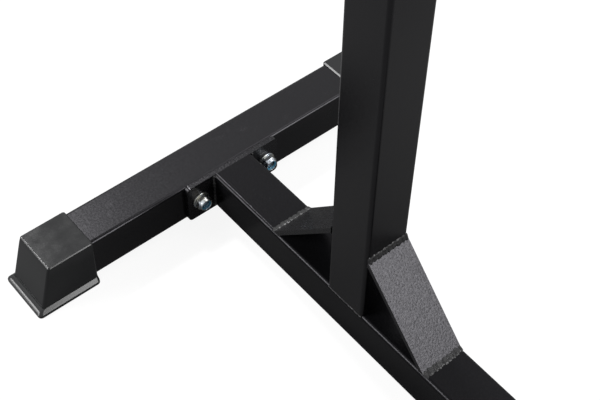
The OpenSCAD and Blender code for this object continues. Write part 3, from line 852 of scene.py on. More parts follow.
class BEAM_OT_finish_solids(bpy.types.Operator):
    """Give every carried-over solid its finish"""

    bl_idname = "beam.finish_solids"
    bl_label = "Finish of the solids"

    def execute(self, context):
        for part in frame["record"]["subparts"]:
            node = part["node"]
            finish = TUBE_FINISH.get(node.split("_", 1)[-1], part["material_slot"])
            paint(frame["nodes"][node], material(finish))
        return {"FINISHED"}


# An end cap, where its tube ends at x = 0 with its underside at z = 0. Each level has a height and an
# outline with a half width, two ends and a corner radius: the top, the waist at the tube's underside, the
# ledge just below it and the rim of the sole. At the top the mouth slopes back to a thin lip, CAP_LIP deep
CAP_TOP = dict(z=52.0, half=27.0, mouth=-48.0, end=4.5, r=2.4)
CAP_WAIST = dict(z=0.0, half=28.8, mouth=-46.2, end=20.0, r=3.5)
CAP_LEDGE = dict(z=-1.0, half=29.7, mouth=-46.2, end=24.1, r=3.5)
CAP_RIM = dict(z=-4.0, half=32.5, mouth=-46.2, end=27.1, r=4.0)
CAP_SOLE_Z = -7.5
CAP_LIP = 1.5


def cap_body(edge):
    """Rings of an end cap from its top to its sole. Between the levels the outline changes evenly; the top's
    edge is a chamfer with rounded borders, the rim's upper and lower edges are small rounds. Over the tube
    the mouth slopes back to a thin lip."""

    def ring(level, inset, z):
        """Outline of a level at height z, drawn in by the inset."""
        lip = CAP_LIP - (CAP_TOP["z"] - z)
        x0, x1 = level["mouth"] + max(inset, lip), level["end"] - inset
        y0, y1 = inset - level["half"], level["half"] - inset
        return lying(rounded_box(x0, x1, y0, y1, max(0.3, level["r"] - 0.5 * inset)), z)

    chamfer = ((1.3, 0.0), (1.1, 0.04), (0.9, 0.16), (0.16, 0.9), (0.04, 1.1), (0.0, 1.3))
    rings = [ring(CAP_TOP, edge * inset, CAP_TOP["z"] - edge * drop) for inset, drop in chamfer]
    for above, below, shares in (
        (CAP_TOP, CAP_WAIST, (0.12, 0.5, 0.97)),
        (CAP_WAIST, CAP_LEDGE, (0.1, 0.8)),
        (CAP_LEDGE, CAP_RIM, (0.08, 0.5, 0.92)),
    ):
        for t in shares:
            level = {key: above[key] + (below[key] - above[key]) * t for key in above}
            rings.append(ring(level, 0.0, level["z"]))
    soft = 0.5
    rim_z = CAP_RIM["z"]
    rings += [ring(CAP_RIM, 0.12, rim_z - 0.12), ring(CAP_RIM, 0.0, rim_z - soft)]
    for inset, up in ((0.0, soft), (0.15, 0.15), (soft, 0.0)):
        rings.append(ring(CAP_RIM, inset, CAP_SOLE_Z + up))
    return np.array(rings)


def cap_socket(gap):
    """Rings of the space for the tube, from outside the mouth to the tube's end, a gap wider all round."""
    flat = rounded_box(-HALF_TUBE - gap, HALF_TUBE + gap, 0.0, TUBE + gap, 4.0 + gap)
    return np.array([standing(flat, x) for x in (-60.0, 0.0)])


def cap_places(side):
    """Ways from an end cap's own place to the frame: the front and the rear foot cap and the rail's cap."""
    middle = FOOT_X + HALF_TUBE

    def foot(way, p):
        x, y, z = middle - way * p[..., 1], way * (FOOT_HIGH[1] + p[..., 0]), FOOT_LIFT + p[..., 2]
        return stand(side, np.stack([x, y, z], -1))

    def rail(p):
        return stand(side, np.stack([RAIL_END - p[..., 0], -p[..., 1], FOOT_LIFT + p[..., 2]], -1))

    return {"foot": (lambda p: foot(-1, p), lambda p: foot(1, p)), "rail": (rail,)}


class BEAM_OT_end_caps(bpy.types.Operator):
    """Mould the flared caps that close the foot tubes and the rails"""

    bl_idname = "beam.end_caps"
    bl_label = "End caps"

    def execute(self, context):
        sizes = context.scene.beam_sizes
        body = cap_body(sizes.cap_edge / MM)
        socket = cap_socket(sizes.cap_gap / MM)
        for side_name, side in SIDES.items():
            for kind, ways in cap_places(side).items():
                caps, holes = Solid(), Solid()
                for way in ways:
                    caps.shell(way(body))
                    holes.shell(way(socket))
                node = f"{side_name}_{kind}_cap" + ("s" if kind == "foot" else "")
                piece = caps.make(node + "_moulded", material("cap_rubber"))
                cutter = holes.make("cap_cutter", material("cap_rubber"))
                cut = piece.modifiers.new("socket", "BOOLEAN")
                cut.operation = "DIFFERENCE"
                cut.solver = "EXACT"
                cut.object = cutter
                apply_modifiers(piece)
                bpy.data.objects.remove(cutter)
                # a failed cut leaves next to nothing
                if len(piece.data.polygons) < 100:
                    raise RuntimeError("the caps could not be cut")
                piece.data.set_sharp_from_angle(angle=math.radians(SHARP_ANGLE))
                true_flats(piece)
                worn_edges(piece)
                place(piece, "stands", "cap_rubber", node)
        return {"FINISHED"}


def hex_head(across, height, face=7.7):
    """Profile of a hexagon head from its seat up: a low washer face, the flats, and the chamfer on top."""
    corner = across / math.sqrt(3)
    sides = [(face - 0.1, 0.0), (face, 0.35), (corner + 0.5, 0.36), (corner + 0.5, height - 0.9)]
    shares = np.linspace(0, 1, 7)
    chamfer = [(corner - 0.15 - t * (corner - face), height - 0.75 * (1 - t) ** 0.8) for t in shares]
    return sides + chamfer + [(face - 0.5, height + 0.02), (CORE, height)]


def bolt(solid, side, seat, axis, shank, twist):
    """A hexagon bolt: its chamfered head out along the axis from the seat, its shank the other way."""
    head = turned(hex_head(ACROSS_FLATS, HEAD_HEIGHT), seat, axis, 72, hexagon(ACROSS_FLATS), twist)
    solid.shell(stand(side, head))
    solid.shell(stand(side, turned(disc_profile(BOLT_RADIUS, -shank, 0.2, 0.8), seat, axis, 32)))


def washer(solid, side, seat, axis):
    """A washer that rises along the axis from its seat."""
    profile = ring_profile(WASHER_HOLE, WASHER_RADIUS, 0.0, WASHER_THICK, 0.4)
    solid.shell(stand(side, turned(profile, seat, axis, 48)), loop=True)


def lock_nut(across):
    """Closed profile of a lock nut: chamfered hexagon, collar drawn in over the nylon ring, groove, bore."""
    corner = across / math.sqrt(3)
    under = [(5.25, 0.0), (7.5, 0.0), (8.2, 0.25), (corner - 0.1, 0.95), (corner + 0.5, 1.05)]
    upper = [(corner + 0.5, 5.0), (corner - 0.1, 5.05), (8.5, 5.6), (7.9, 6.05), (7.6, 6.3)]
    collar = [(7.45, 6.7), (7.35, 7.6), (7.1, 8.3), (6.8, 8.8), (6.4, 9.0), (6.05, 8.9), (5.9, 8.6)]
    groove = [(5.92, 8.2), (6.2, 8.1), (6.2, 6.3), (5.25, 6.2)]
    return under + upper + collar + groove


class BEAM_OT_flange_fasteners(bpy.types.Operator):
    """Turn the bolts, washers and lock nuts that hold the rails to the feet"""

    bl_idname = "beam.flange_fasteners"
    bl_label = "Flange fasteners"

    def execute(self, context):
        bolts, head_washers, nut_washers, nuts, rings = (Solid() for _ in range(5))
        head_x = FOOT_X + TUBE
        out, back = (1, 0, 0), (-1, 0, 0)
        # how far each bolt and its nut are turned, by stand and edge, in radians
        twists = {(-1, -1): 0.16, (-1, 1): 0.42, (1, -1): 0.30, (1, 1): 0.05}
        for (side, edge), twist in twists.items():
            y, z = edge * FLANGE_BOLT_Y, FLANGE_BOLT_Z
            bolt(bolts, side, (head_x + WASHER_THICK, y, z), out, shank=64.9, twist=twist)
            washer(head_washers, side, (head_x, y, z), out)
            washer(nut_washers, side, (PLATE_X, y, z), back)
            seat = (PLATE_X - WASHER_THICK, y, z)
            nut = turned(lock_nut(ACROSS_FLATS), seat, back, 72, hexagon(ACROSS_FLATS), twist)
            nuts.shell(stand(side, nut), loop=True)
            ring = turned(ring_profile(4.75, 6.1, 6.3, 8.2, 0.35), seat, back, 48)
            rings.shell(stand(side, ring), loop=True)
        for solid, name, slot, node in (
            (bolts, "flange_bolts_turned", "zinc_plate", "flange_bolts"),
            (head_washers, "bolt_head_washers_turned", "zinc_plate", "bolt_head_washers"),
            (nut_washers, "nut_washers_turned", "zinc_plate", "nut_washers"),
            (nuts, "lock_nuts_turned", "zinc_plate", "lock_nuts"),
            (rings, "lock_nut_rings_moulded", "nylon_blue", "lock_nut_rings"),
        ):
            place(solid.make(name, material(slot)), "stands", slot, node)
        return {"FINISHED"}


class BEAM_OT_saddle_fasteners(bpy.types.Operator):
    """Turn the bolts and washers that hold the beam to its saddle plates"""

    bl_idname = "beam.saddle_fasteners"
    bl_label = "Saddle fasteners"

    def execute(self, context):
        bolts, washers = Solid(), Solid()
        down = (0, 0, -1)
        # the holes of a saddle plate, from its middle
        holes = [(x, y) for x in (-75.0, 75.0) for y in (-21.0, 21.0)]
        for side in SIDES.values():
            for k, (x, y) in enumerate(holes):
                twist = 0.7 * k + 0.3 * side
                bolt(bolts, side, (x, y, SADDLE_Z - WASHER_THICK), down, shank=34.8, twist=twist)
                washer(washers, side, (x, y, SADDLE_Z), down)
        for solid, node in ((bolts, "saddle_bolts"), (washers, "saddle_washers")):
            place(solid.make(node + "_turned", material("zinc_plate")), "beam", "zinc_plate", node)
        return {"FINISHED"}


def circle_path(centre, e1, e2, radius):
    """Closed circle and its directions outwards: the centre plus radius times (cos a along e1, sin a along
    e2); the last point is the first."""
    a = np.linspace(0, 2 * np.pi, 49)[:, None]
    out = np.cos(a) * np.asarray(e1, float) + np.sin(a) * np.asarray(e2, float)
    return np.asarray(centre, float) + radius * out, out


class BEAM_OT_welds(bpy.types.Operator):
    """Lay the weld beads between the tubes, gussets and plates"""

    bl_idname = "beam.welds"
    bl_label = "Weld beads"

    def execute(self, context):
        sizes = context.scene.beam_sizes
        leg, ripple = sizes.weld / MM, sizes.weld_ripple / MM
        top, crest = RAIL_TOP, GUSSET_HIGH[2]
        reach = GUSSET_HIGH[0] - GUSSET_LOW[0]
        half = GUSSET_HIGH[1]
        slope = math.sqrt(0.5)
        # the gussets' inner corners lie behind their outer ones, by 5 mm of plate cut at 45 degrees
        behind = 5.0 * math.sqrt(2)
        # the sliding post: half its width, its corner radius, and just inside the middles of its corners
        half_post, corner_radius, corner_middle = 20.0, 4.0, 15.9
        for side_name, side in SIDES.items():
            low, high = Solid(), Solid()
            seeds = itertools.count(41 if side < 0 else 81)

            def lay(solid, path, first, second, size, closed=False):
                """Lay the next bead on this side's stand, with its own seed and `size` times the leg."""
                flip = np.array((side, 1.0, 1.0))
                first, second = unit(first) * flip, unit(second) * flip
                bead(solid, stand(side, path), first, second, leg * size, ripple, next(seeds), closed)

            def across(x, z):
                """Straight path across the gusset's width."""
                return line((x, -half, z), (x, half, z))

            for way in (-1, 1):
                face, foot = way * HALF_TUBE, way * (HALF_TUBE + reach)
                inner_foot = way * (HALF_TUBE + reach - behind)
                down, up = (way * slope, 0, -slope), (-way * slope, 0, slope)
                lay(low, across(face, crest), down, (0, 0, 1), 1.2)
                lay(low, across(foot, top), up, (way, 0, 0), 1.15)
                lay(low, across(face, crest - behind), down, (0, 0, -1), 0.6)
                lay(low, across(inner_foot, top), up, (-way, 0, 0), 0.6)
                rim, rim_z = way * (HALF_TUBE - 1.1), top - 1.5
                joint = line((-24.0, rim, rim_z), (24.0, rim, rim_z))
                lay(low, joint, (0, way, 0.1), (0, 0.2 * way, 1), 0.5)
                joint = line((PLATE_X, face, 9.5), (PLATE_X, face, top - 0.6))
                lay(low, joint, (0, way, 0), (-1, 0, 0), 0.6)
            path, out = circle_path((0, -HALF_TUBE, PIN_Z), (1, 0, 0), (0, 0, 1), 11.0)
            lay(low, path, out, (0, -1, 0), 0.7, True)
            path, out = circle_path((HALF_TUBE, 0, CLAMP_Z), (0, 1, 0), (0, 0, 1), 9.2)
            lay(low, path, out, (1, 0, 0), 0.7, True)

            ring = rounded_box(-half_post, half_post, -half_post, half_post, corner_radius)
            ring = np.concatenate([ring, ring[:1]])
            over = np.sign(ring) * (np.abs(ring) > corner_middle) * (np.abs(ring) - corner_middle)
            lay(high, lying(ring, SADDLE_Z), unit(lying(over, 0.0)), (0, 0, -1), 1.0, True)
            for way in (-1, 1):
                for y in (-2.5, 2.5):
                    out, post_x = (0, math.copysign(1, y), 0), way * half_post
                    plate_joint = line((way * 23.0, y, SADDLE_Z), (way * 68.5, y, SADDLE_Z))
                    lay(high, plate_joint, out, (0, 0, -1), 0.7)
                    post_joint = line((post_x, y, SADDLE_Z - 36.5), (post_x, y, SADDLE_Z - 3))
                    lay(high, post_joint, out, (way, 0, 0), 0.7)
            piece = low.make(side_name + "_stand_welds", material("weld"), 50.0)
            place(piece, "stands", "powder_coat")
            piece = high.make(side_name + "_saddle_welds", material("weld"), 50.0)
            place(piece, "beam", "powder_coat")
        return {"FINISHED"}


def square_rings(profile):
    """Rings of a square frame: a profile of (half width, corner radius, height), each a rounded square."""
    return np.array([lying(rounded_box(-half, half, -half, half, r), z) for half, r, z in profile])


class BEAM_OT_post_bushes(bpy.types.Operator):
    """Mould the collared bushes that guide the sliding posts"""

    bl_idname = "beam.post_bushes"
    bl_label = "Post bushes"

    def execute(self, context):
        low, high = corners("right_post_bush")
        rim, top, bottom = POST_HIGH[2], high[2], low[2]
        # half width, corner radius and height, from the post's rim over the collar and down inside
        outer = HALF_TUBE + 3.0
        edge = 1.6
        profile = [(outer, 7.0, rim), (outer, 7.0, top - edge)]
        for a in np.radians((22, 45, 68, 90)):
            drawn = 1 - math.cos(a)
            profile.append((outer - edge * drawn, 7.0 - 0.8 * drawn, top - edge + edge * math.sin(a)))
        profile += [(21.6, 4.6, top), (20.7, 4.3, top - 0.35), (20.35, 4.2, top - 1.2)]
        profile += [(20.3, 4.2, bottom + 0.6), (20.8, 4.2, bottom), (22.4, 3.0, bottom)]
        profile += [(22.9, 2.6, bottom + 0.8), (22.9, 2.6, rim)]
        for side_name, side in SIDES.items():
            bush = Solid()
            bush.shell(stand(side, square_rings(profile)), loop=True)
            place(
                bush.make(side_name + "_post_bush_moulded", material("guide_plastic"), 25.0),
                "stands", "guide_plastic", side_name + "_post_bush",
            )
        return {"FINISHED"}


def helix(radius, wire, low, high, turns):
    """Round wire wound in a closed-ended coil: the wire's middle runs at (radius cos a, radius sin a) while
    its height rises fast in the middle turns and hardly at all in the first and last one."""
    t = np.linspace(0, 1, 44 * turns)
    ease = 0.72 / turns
    ramp = np.clip((t - ease) / (1 - 2 * ease), 0, 1)
    start, rise = low + wire / 2, high - low - wire
    height = start + rise * (0.9 * ramp * ramp * (3 - 2 * ramp) * 0.25 + ramp * 0.775)
    height = start + (height - height[0]) / (height[-1] - height[0]) * rise
    a = 2 * np.pi * turns * t
    path = np.stack([radius * np.cos(a), radius * np.sin(a), height], -1)
    round_wire = np.radians(np.arange(0, 360, 36))
    section = wire / 2 * np.stack([np.cos(round_wire), np.sin(round_wire)], -1)
    return swept(path, section, (0.0, 0.0, 1.0))


def turned_pieces(side_name, side, pieces):
    """Make turned pieces of one stand. Each CAD node's entry has the body that the piece rides on, its
    finish, its rings and whether they close to a loop."""
    for node, (body, slot, rings, loop) in pieces.items():
        solid = Solid()
        solid.shell(stand(side, rings), loop=loop)
        piece = solid.make(f"{side_name}_{node}_turned", material(slot))
        place(piece, body, slot, f"{side_name}_{node}")


class BEAM_OT_lock_pins(bpy.types.Operator):
    """Turn the spring-loaded lock pins with their housings, springs and pull knobs"""

    bl_idname = "beam.lock_pins"
    bl_label = "Lock pins"

    def execute(self, context):
        sizes = context.scene.beam_sizes
        out = (0, -1, 0)
        base = (0, 0, PIN_Z)
        head, neck = 15.0, 11.0
        flute = 0.8

        def grip(angle):
            """Outline of the flutes: the head's radius less a raised wave with one crest to each flute."""
            return head - flute * (0.5 + 0.5 * np.cos(sizes.grips * angle)) ** 1.6

        # profiles of (radius, distance from the post's axis)
        housing = rounding(11.0, 57.0, 1.2)[::-1]
        housing += [(4.4, 57.0), (4.2, 56.6), (4.2, 51.0), (8.2, 51.0), (8.2, 25.0), (10.9, 25.0)]
        pin = [(CORE, 12.0), (2.8, 12.0), (3.9, 12.4), (4.6, 13.2), (5.0, 14.6), (5.0, 25.3), (7.7, 25.3)]
        pin += [(8.0, 25.6), (8.0, 28.0), (7.7, 28.3), (4.0, 28.3), (4.0, 73.6), (3.6, 74.0), (CORE, 74.0)]
        knob = [(4.2, 60.0), (4.2, 58.2), (4.5, 58.0)]
        knob += arc(neck - 0.8, 58.8, 0.8, -0.8, (0, 30, 60, 90))
        knob += [(neck, 66.6), (neck + 0.3, 67.5), (neck + 1.0, 68.0)]
        knob += arc(head + 0.2 - 3, 71.0, 3, -3, (10, 30, 50, 70, 90))
        knob += [(head + 0.2, 72.0), (head + 0.2, 77.0), (head + 0.2, 82.5)]
        knob += arc(head - 3.4, 82.6, 3.4, 3.4, (82, 66, 50, 34, 18, 0))
        knob += [(8.6, 85.9), (8.0, 85.3), (7.2, 85.15), (CORE, 85.4)]
        knob_rings = turned(knob, base, out, 6 * sizes.grips, grip)
        for side_name, side in SIDES.items():
            body = side_name + "_pin"
            turned_pieces(side_name, side, {
                "pin_housing": ("stands", "powder_coat", turned(housing, base, out, 56), True),
                "lock_pin": (body, "zinc_plate", turned(pin, base, out, 40), False),
                "pull_knob": (body, "knob_plastic", knob_rings, False),
            })
            coil = helix(6.1, 1.4, 28.32, 50.98, sizes.spring_turns)
            coil = np.stack([coil[..., 0], -coil[..., 2], PIN_Z + coil[..., 1]], -1)
            spring = Solid()
            spring.shell(stand(side, coil))
            piece = spring.make(side_name + "_pin_spring_wound", material("spring_steel"), 50.0)
            stand(side, (0, -28.4, PIN_Z)) * MM
            stand(side, (0, -50.9, PIN_Z)) * MM
            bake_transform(piece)
            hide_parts(side_name + "_pin_spring")
        return {"FINISHED"}


class BEAM_OT_clamps(bpy.types.Operator):
    """Turn the clamp screws with their welded nuts and star knobs"""

    bl_idname = "beam.clamps"
    bl_label = "Clamp screws"

    def execute(self, context):
        out = (1, 0, 0)
        base = (0, 0, CLAMP_Z)
        pitch = context.scene.beam_sizes.thread_pitch / MM
        # profiles of (radius, distance from the post's axis)
        nut = [(5.2, 25.0), (8.8, 25.0), (10.5, 25.1), (10.5, 32.0), (9.6, 32.1), (9.0, 32.55), (8.3, 32.9)]
        nut += [(7.9, 33.0), (5.9, 33.0), (5.2, 32.4)]
        start, end = 20.3, 49.0

        def threaded():
            """Rings of the screw: the radius less the thread's depth times a triangle wave of height over
            pitch minus the angle's share of a turn, run out towards the tip."""
            around = 36
            rows = np.arange(start, end + 0.01, pitch / 6)
            rings = turned(np.column_stack([np.full(len(rows), BOLT_RADIUS), rows]), base, out, around)
            share = np.arange(around) / around
            wave = np.abs(2 * np.mod(rows[:, None] / pitch - share, 1.0) - 1)
            fade = np.clip((rows - start) / 1.2, 0.0, 1.0)[:, None]
            radius = (4.2 + 0.8 * fade) - 0.72 * wave * fade
            middle = np.asarray(base, float) + rows[:, None, None] * np.array(out, float)
            return middle + (rings - middle) * (radius / BOLT_RADIUS)[..., None]

        def star(angle):
            """Outline of the star: a radius of 21 mm that swings out and in by 4 mm five times round."""
            return 21.0 + 4.0 * np.cos(5 * angle)

        # the third number of the knob's profile is its inset from the star; a wide radius reaches all of it
        wide = 99.0
        edge = 3.0
        bends = np.radians((0, 20, 40, 60, 75, 90))
        edges = [(edge * (1 - math.cos(a)), edge * (1 - math.sin(a))) for a in bends]
        hub = [(5.1, 36.0), (5.1, 35.2), (5.4, 35.0), (9.4, 35.0), (9.85, 35.2), (10.0, 35.7), (10.0, 37.4)]
        dish = [(12.6, 60.0), (12.2, 59.8), (11.9, 59.2), (11.4, 59.0), (10.9, 59.2), (6.0, 59.7)]
        rows = [(r, h, 0) for r, h in hub + [(10.5, 38.0)]]
        rows += [(wide, 38.0 + drop, inset) for drop, inset in edges]
        rows += [(wide, 45.0, 0), (wide, 53.0, 0)]
        rows += [(wide, 60.0 - drop, inset) for drop, inset in edges[::-1]]
        rows += [(r, h, 0) for r, h in dish + [(CORE, 59.8)]]
        for side_name, side in SIDES.items():
            body = side_name + "_clamp"
            turned_pieces(side_name, side, {
                "clamp_nut": ("stands", "powder_coat", turned(nut, base, out, 72, hexagon(17.0)), True),
                "clamp_screw": (body, "zinc_plate", threaded(), False),
                "clamp_knob": (body, "knob_plastic", turned(rows, base, out, 120, star, -np.pi / 2), False),
            })
        return {"FINISHED"}


# ---------------------------------------------------------------- pieces of the beam


def cover_rings(spacing):
    """Rings of the cover as it is cut, a little slimmer than when it is filled: one rounded rectangle after
    the other along the beam, close together near the ends, where they turn over the end seam in a quarter
    round and shrink towards the middle of the end panel."""
    low, high = COVER_LOW + (1.0, 0.7, 0.0), COVER_HIGH - (1.0, 0.7, 1.2)
    r, turn, near_end = 10.0, 3.0, 40.0
    # how far each ring near an end lies in from the end, and how far it is drawn in all round
    end = [(0.0, i) for i in (44.0, 38.0, 32.0, 26.0, 20.0, 15.0, 11.0, 8.0, 5.5)]
    for a in np.radians((90, 67, 45, 22, 0)):
        end.append((turn - turn * (1 - math.cos(a)), turn - turn * (1 - math.sin(a))))
    start = np.array(end + [(turn + x, 0.0) for x in (2.0, 4.0, 6.0, 9.0, 13.0, 18.0, 24.0, 31.0)])
    long = high[0] - low[0]
    between = np.linspace(near_end, long - near_end, int((long - 2 * near_end) / spacing) + 1)
    x = np.concatenate([low[0] + start[:, 0], low[0] + between, high[0] - start[::-1, 0]])
    inset = np.concatenate([start[:, 1], np.zeros(len(between)), start[::-1, 1]])
    return np.array([
        standing(even_outline(low[1] + i, high[1] - i, low[2] + i, high[2] - i, max(1.0, r - i)), at)
        for at, i in zip(x, inset)
    ])


def even_outline(y0, y1, z0, z1, r, along=(13, 15), corner=5):
    """Rounded rectangle with the same number of points whatever its size: `along` points on its short and
    long straight sides and `corner` on each corner, from the middle of its lower side round."""
    a = np.radians(np.linspace(0, 90, corner))
    c, s = r * np.cos(a), r * np.sin(a)

    def straight(p, q, n):
        return np.linspace(p, q, n + 2)[1:-1]

    middle = (y0 + y1) / 2
    parts = [
        straight((middle, z0), (y1 - r, z0), along[0] // 2),
        np.stack([y1 - r + s, z0 + r - c], -1),
        straight((y1, z0 + r), (y1, z1 - r), along[1]),
        np.stack([y1 - r + c, z1 - r + s], -1),
        straight((y1 - r, z1), (y0 + r, z1), along[0]),
        np.stack([y0 + r - s, z1 - r + c], -1),
        straight((y0, z1 - r), (y0, z0 + r), along[1]),
        np.stack([y0 + r - c, z0 + r - s], -1),
        straight((y0 + r, z0), (middle, z0), along[0] // 2),
        np.array([(middle, z0)]),
    ]
    return np.concatenate(parts)


def inflate(piece, pinned, frames=20):
    """Fill the piece by cloth simulation: pressure from inside, no gravity, the pinned points held. Returns
    where its points end up."""
    group = piece.vertex_groups.new(name="held")
    group.add([int(k) for k in np.flatnonzero(pinned)], 1.0, "REPLACE")
    cloth = piece.modifiers.new("filling", "CLOTH")
    s = cloth.settings
    s.quality = 5
    s.mass = 0.3
    s.tension_stiffness = s.compression_stiffness = 25.0
    s.shear_stiffness = 10.0
    s.bending_stiffness = 2.0
    s.use_pressure = True
    s.uniform_pressure_force = 4.0
    s.effector_weights.gravity = 0.0
    s.vertex_group_mass = "held"
    cloth.point_cache.frame_start = 1
    cloth.point_cache.frame_end = frames
    for number in range(1, frames + 1):
        bpy.context.scene.frame_set(number)
    graph = bpy.context.evaluated_depsgraph_get()
    moved = mesh_points(piece.evaluated_get(graph).to_mesh())
    piece.evaluated_get(graph).to_mesh_clear()
    piece.modifiers.remove(cloth)
    piece.vertex_groups.clear()
    bpy.context.scene.frame_set(1)
    return moved


def mesh_points(mesh):
    """The mesh's points, in millimetres."""
    out = np.empty(len(mesh.vertices) * 3, np.float32)
    mesh.vertices.foreach_get("co", out)
    return out.reshape(-1, 3).astype(float) / MM


def set_points(piece, points):
    """Move the piece's points to places given in millimetres."""
    piece.data.vertices.foreach_set("co", (points * MM).astype(np.float32).ravel())
    piece.data.update()


# Distance along the beam from ring to ring of the cover, away from its ends
COVER_RING_SPACING = 8.0
# Under the beam, each hem of the cover ends this far from the middle line
HEM_Y = 37.2
# The seam over each end lies this far in from the cover's end
END_SEAM = 6.0


class BEAM_OT_cover(bpy.types.Operator):
    """Sew the padded suede cover over the foam, with its end seams, stitches and staples"""

    bl_idname = "beam.cover"
    bl_label = "Padded cover"

    def execute(self, context):
        sizes = context.scene.beam_sizes
        crown = sizes.crown / MM
        rings = cover_rings(COVER_RING_SPACING)
        n, m = rings.shape[:2]
        solid = Solid()
        solid.shell(rings)
        cover = solid.make("beam_cover_sewn", material("suede"), 80.0)
        rest = mesh_points(cover.data)
        low, high = COVER_LOW, COVER_HIGH
        # the points on the underside are stapled down and don't move
        under = rest[:, 2] < low[2] + 0.5
        moved = inflate(cover, under)
        # each point keeps its way, but goes no further than the crown
        shift = moved - rest
        size = np.linalg.norm(shift, axis=1, keepdims=True)
        shift *= crown * np.tanh(size / crown) / np.maximum(size, 1e-9)
        # the foam holds the cover from inside, so no point moves inwards from where it was cut
        outward = np.empty(len(rest) * 3)
        cover.data.vertices.foreach_get("normal", outward)
        outward = outward.reshape(-1, 3)
        along = np.sum(shift * outward, axis=1, keepdims=True)
        shift -= outward * np.minimum(along, 0.0)
        # the seam over the end's edge holds the cover back, and presses a shallow groove into both sides
        edge = np.abs(np.abs(rest[:, 0]) - (high[0] - END_SEAM))
        side_wall = np.abs(rest[:, 0]) < high[0] - 1.5
        hold, hold_width = 0.85, 4.0
        held = np.where(side_wall, 1 - hold * np.exp(-((edge / hold_width) ** 2)), 1.0)
        shift *= held[:, None]
        centre = rest.copy()
        centre[:, 1:] = 0.0, (low[2] + high[2]) / 2
        inward = unit(centre - rest + (0, 0, 1e-9))
        groove_depth, groove_width = 0.7, 1.6
        groove = np.where(side_wall & ~under, groove_depth * np.exp(-((edge / groove_width) ** 2)), 0.0)
        shift += inward * groove[:, None]
        shift[under] = 0.0
        final = rest + shift
        end_crown = 2.5
        final[:, 0] = np.clip(final[:, 0], low[0] - end_crown, high[0] + end_crown)
        set_points(cover, final)
        skin = final.reshape(n, m, 3)

        # the underside between the hems stays open over the timber
        open_strip = []
        strip_end = high[0] - 24.0
        for face in cover.data.polygons:
            c = face.center / MM
            if abs(c.y) < HEM_Y - 1.0 and c.z < low[2] + 0.6 and abs(c.x) < strip_end:
                open_strip.append(face.index)
        cut_faces(cover, open_strip)
        thick = cover.modifiers.new("hide", "SOLIDIFY")
        thick.thickness = 1.1 * MM
        thick.offset = -1.0
        thick.use_rim = True
        finer = cover.modifiers.new("finer", "SUBSURF")
        finer.subdivision_type = "CATMULL_CLARK"
        finer.levels = finer.render_levels = 1
        apply_modifiers(cover)
        place(cover, "beam", "suede", "beam_cover")

        foam_piece()
        stitches(skin, rest.reshape(n, m, 3), sizes.stitch / MM)
        staples(sizes.staple / MM)
        return {"FINISHED"}


def cut_faces(piece, indices):
    """Take faces out of the piece's mesh, and the points that no face uses any more."""
    work = bmesh.new()
    work.from_mesh(piece.data)
    work.faces.ensure_lookup_table()
    bmesh.ops.delete(work, geom=[work.faces[k] for k in indices], context="FACES")
    work.to_mesh(piece.data)
    work.free()


def foam_piece():
    """The foam jacket with its end pads: rounded rectangles along the beam, drawn in softly at both ends."""
    low, high = corners("beam_foam")
    # the foam is a little smaller than its solids, so that it keeps clear of the cover
    end = corners("end_pads")[1][0] - 0.4
    low, high = low + (0, 0.6, 0.6), high - (0, 0.6, 0.9)
    # near an end: distance from the middle, and how far the rectangle is drawn in all round
    rows = [(end, 4.0), (end - 0.6, 2.4), (end - 1.6, 1.2), (end - 3.2, 0.4), (end - 6.0, 0.0)]
    between = np.linspace((-end + 60, 0), (end - 60, 0), 21).tolist()
    rings = [
        standing(rounded_box(low[1] + i, high[1] - i, low[2] + i, high[2] - i, 10.0), x)
        for x, i in [(-x, i) for x, i in rows] + between + rows[::-1]
    ]
    foam = Solid()
    foam.shell(np.array(rings))
    piece = foam.make("beam_foam_cut", material("foam"))
    place(piece, "beam", "foam", "beam_foam", "end_pads")


def stitches(skin, rest, pitch):
    """Small slanted stitches in a row over the end seams: each a short spindle laid along the seam's path,
    which is the cover's ring nearest the seam, measured along its length."""
    # a spindle's rings: place along it as a share of half its length, radius and height over the cover
    spindle = np.array((
        (-1.0, 0.05, -0.30), (-0.82, 0.26, -0.12), (-0.3, 0.40, 0.16),
        (0.3, 0.40, 0.16), (0.82, 0.26, -0.12), (1.0, 0.05, -0.30),
    ))
    half_stitch = pitch * 0.39
    a = np.radians(np.arange(0, 360, 60))
    thread = Solid()
    for way in (-1, 1):
        at = way * (COVER_HIGH[0] - END_SEAM - 3.2)
        row = int(np.argmin(np.abs(rest[:, 0, 0] - at)))
        path = skin[row][rest[row, :, 2] > COVER_LOW[2] + 0.5]
        run = run_length(path)
        places = np.arange(pitch, run[-1] - pitch, pitch)
        point = at_lengths(places, run, path)
        ahead = unit(at_lengths(places + 1, run, path) - point)
        out = unit(np.cross(ahead, (1.0, 0.0, 0.0)))
        middle = np.array((at, 0.0, (COVER_LOW[2] + COVER_HIGH[2]) / 2))
        out *= np.sign(np.sum(out * (point - middle), -1))[:, None]
        for p, t, o in zip(point, ahead, out):
            t = unit(t + way * 0.22 * np.cross(t, o))
            b = np.cross(t, o)
            around = (np.cos(a)[:, None] * b + np.sin(a)[:, None] * o)[None]
            along, radius, height = spindle[:, None, :1], spindle[:, None, 1:2], spindle[:, None, 2:] + 0.1
            thread.shell(p + along * half_stitch * t + height * o + radius * around)
    place(thread.make("beam_cover_stitches", material("thread"), 60.0), "beam", "suede")


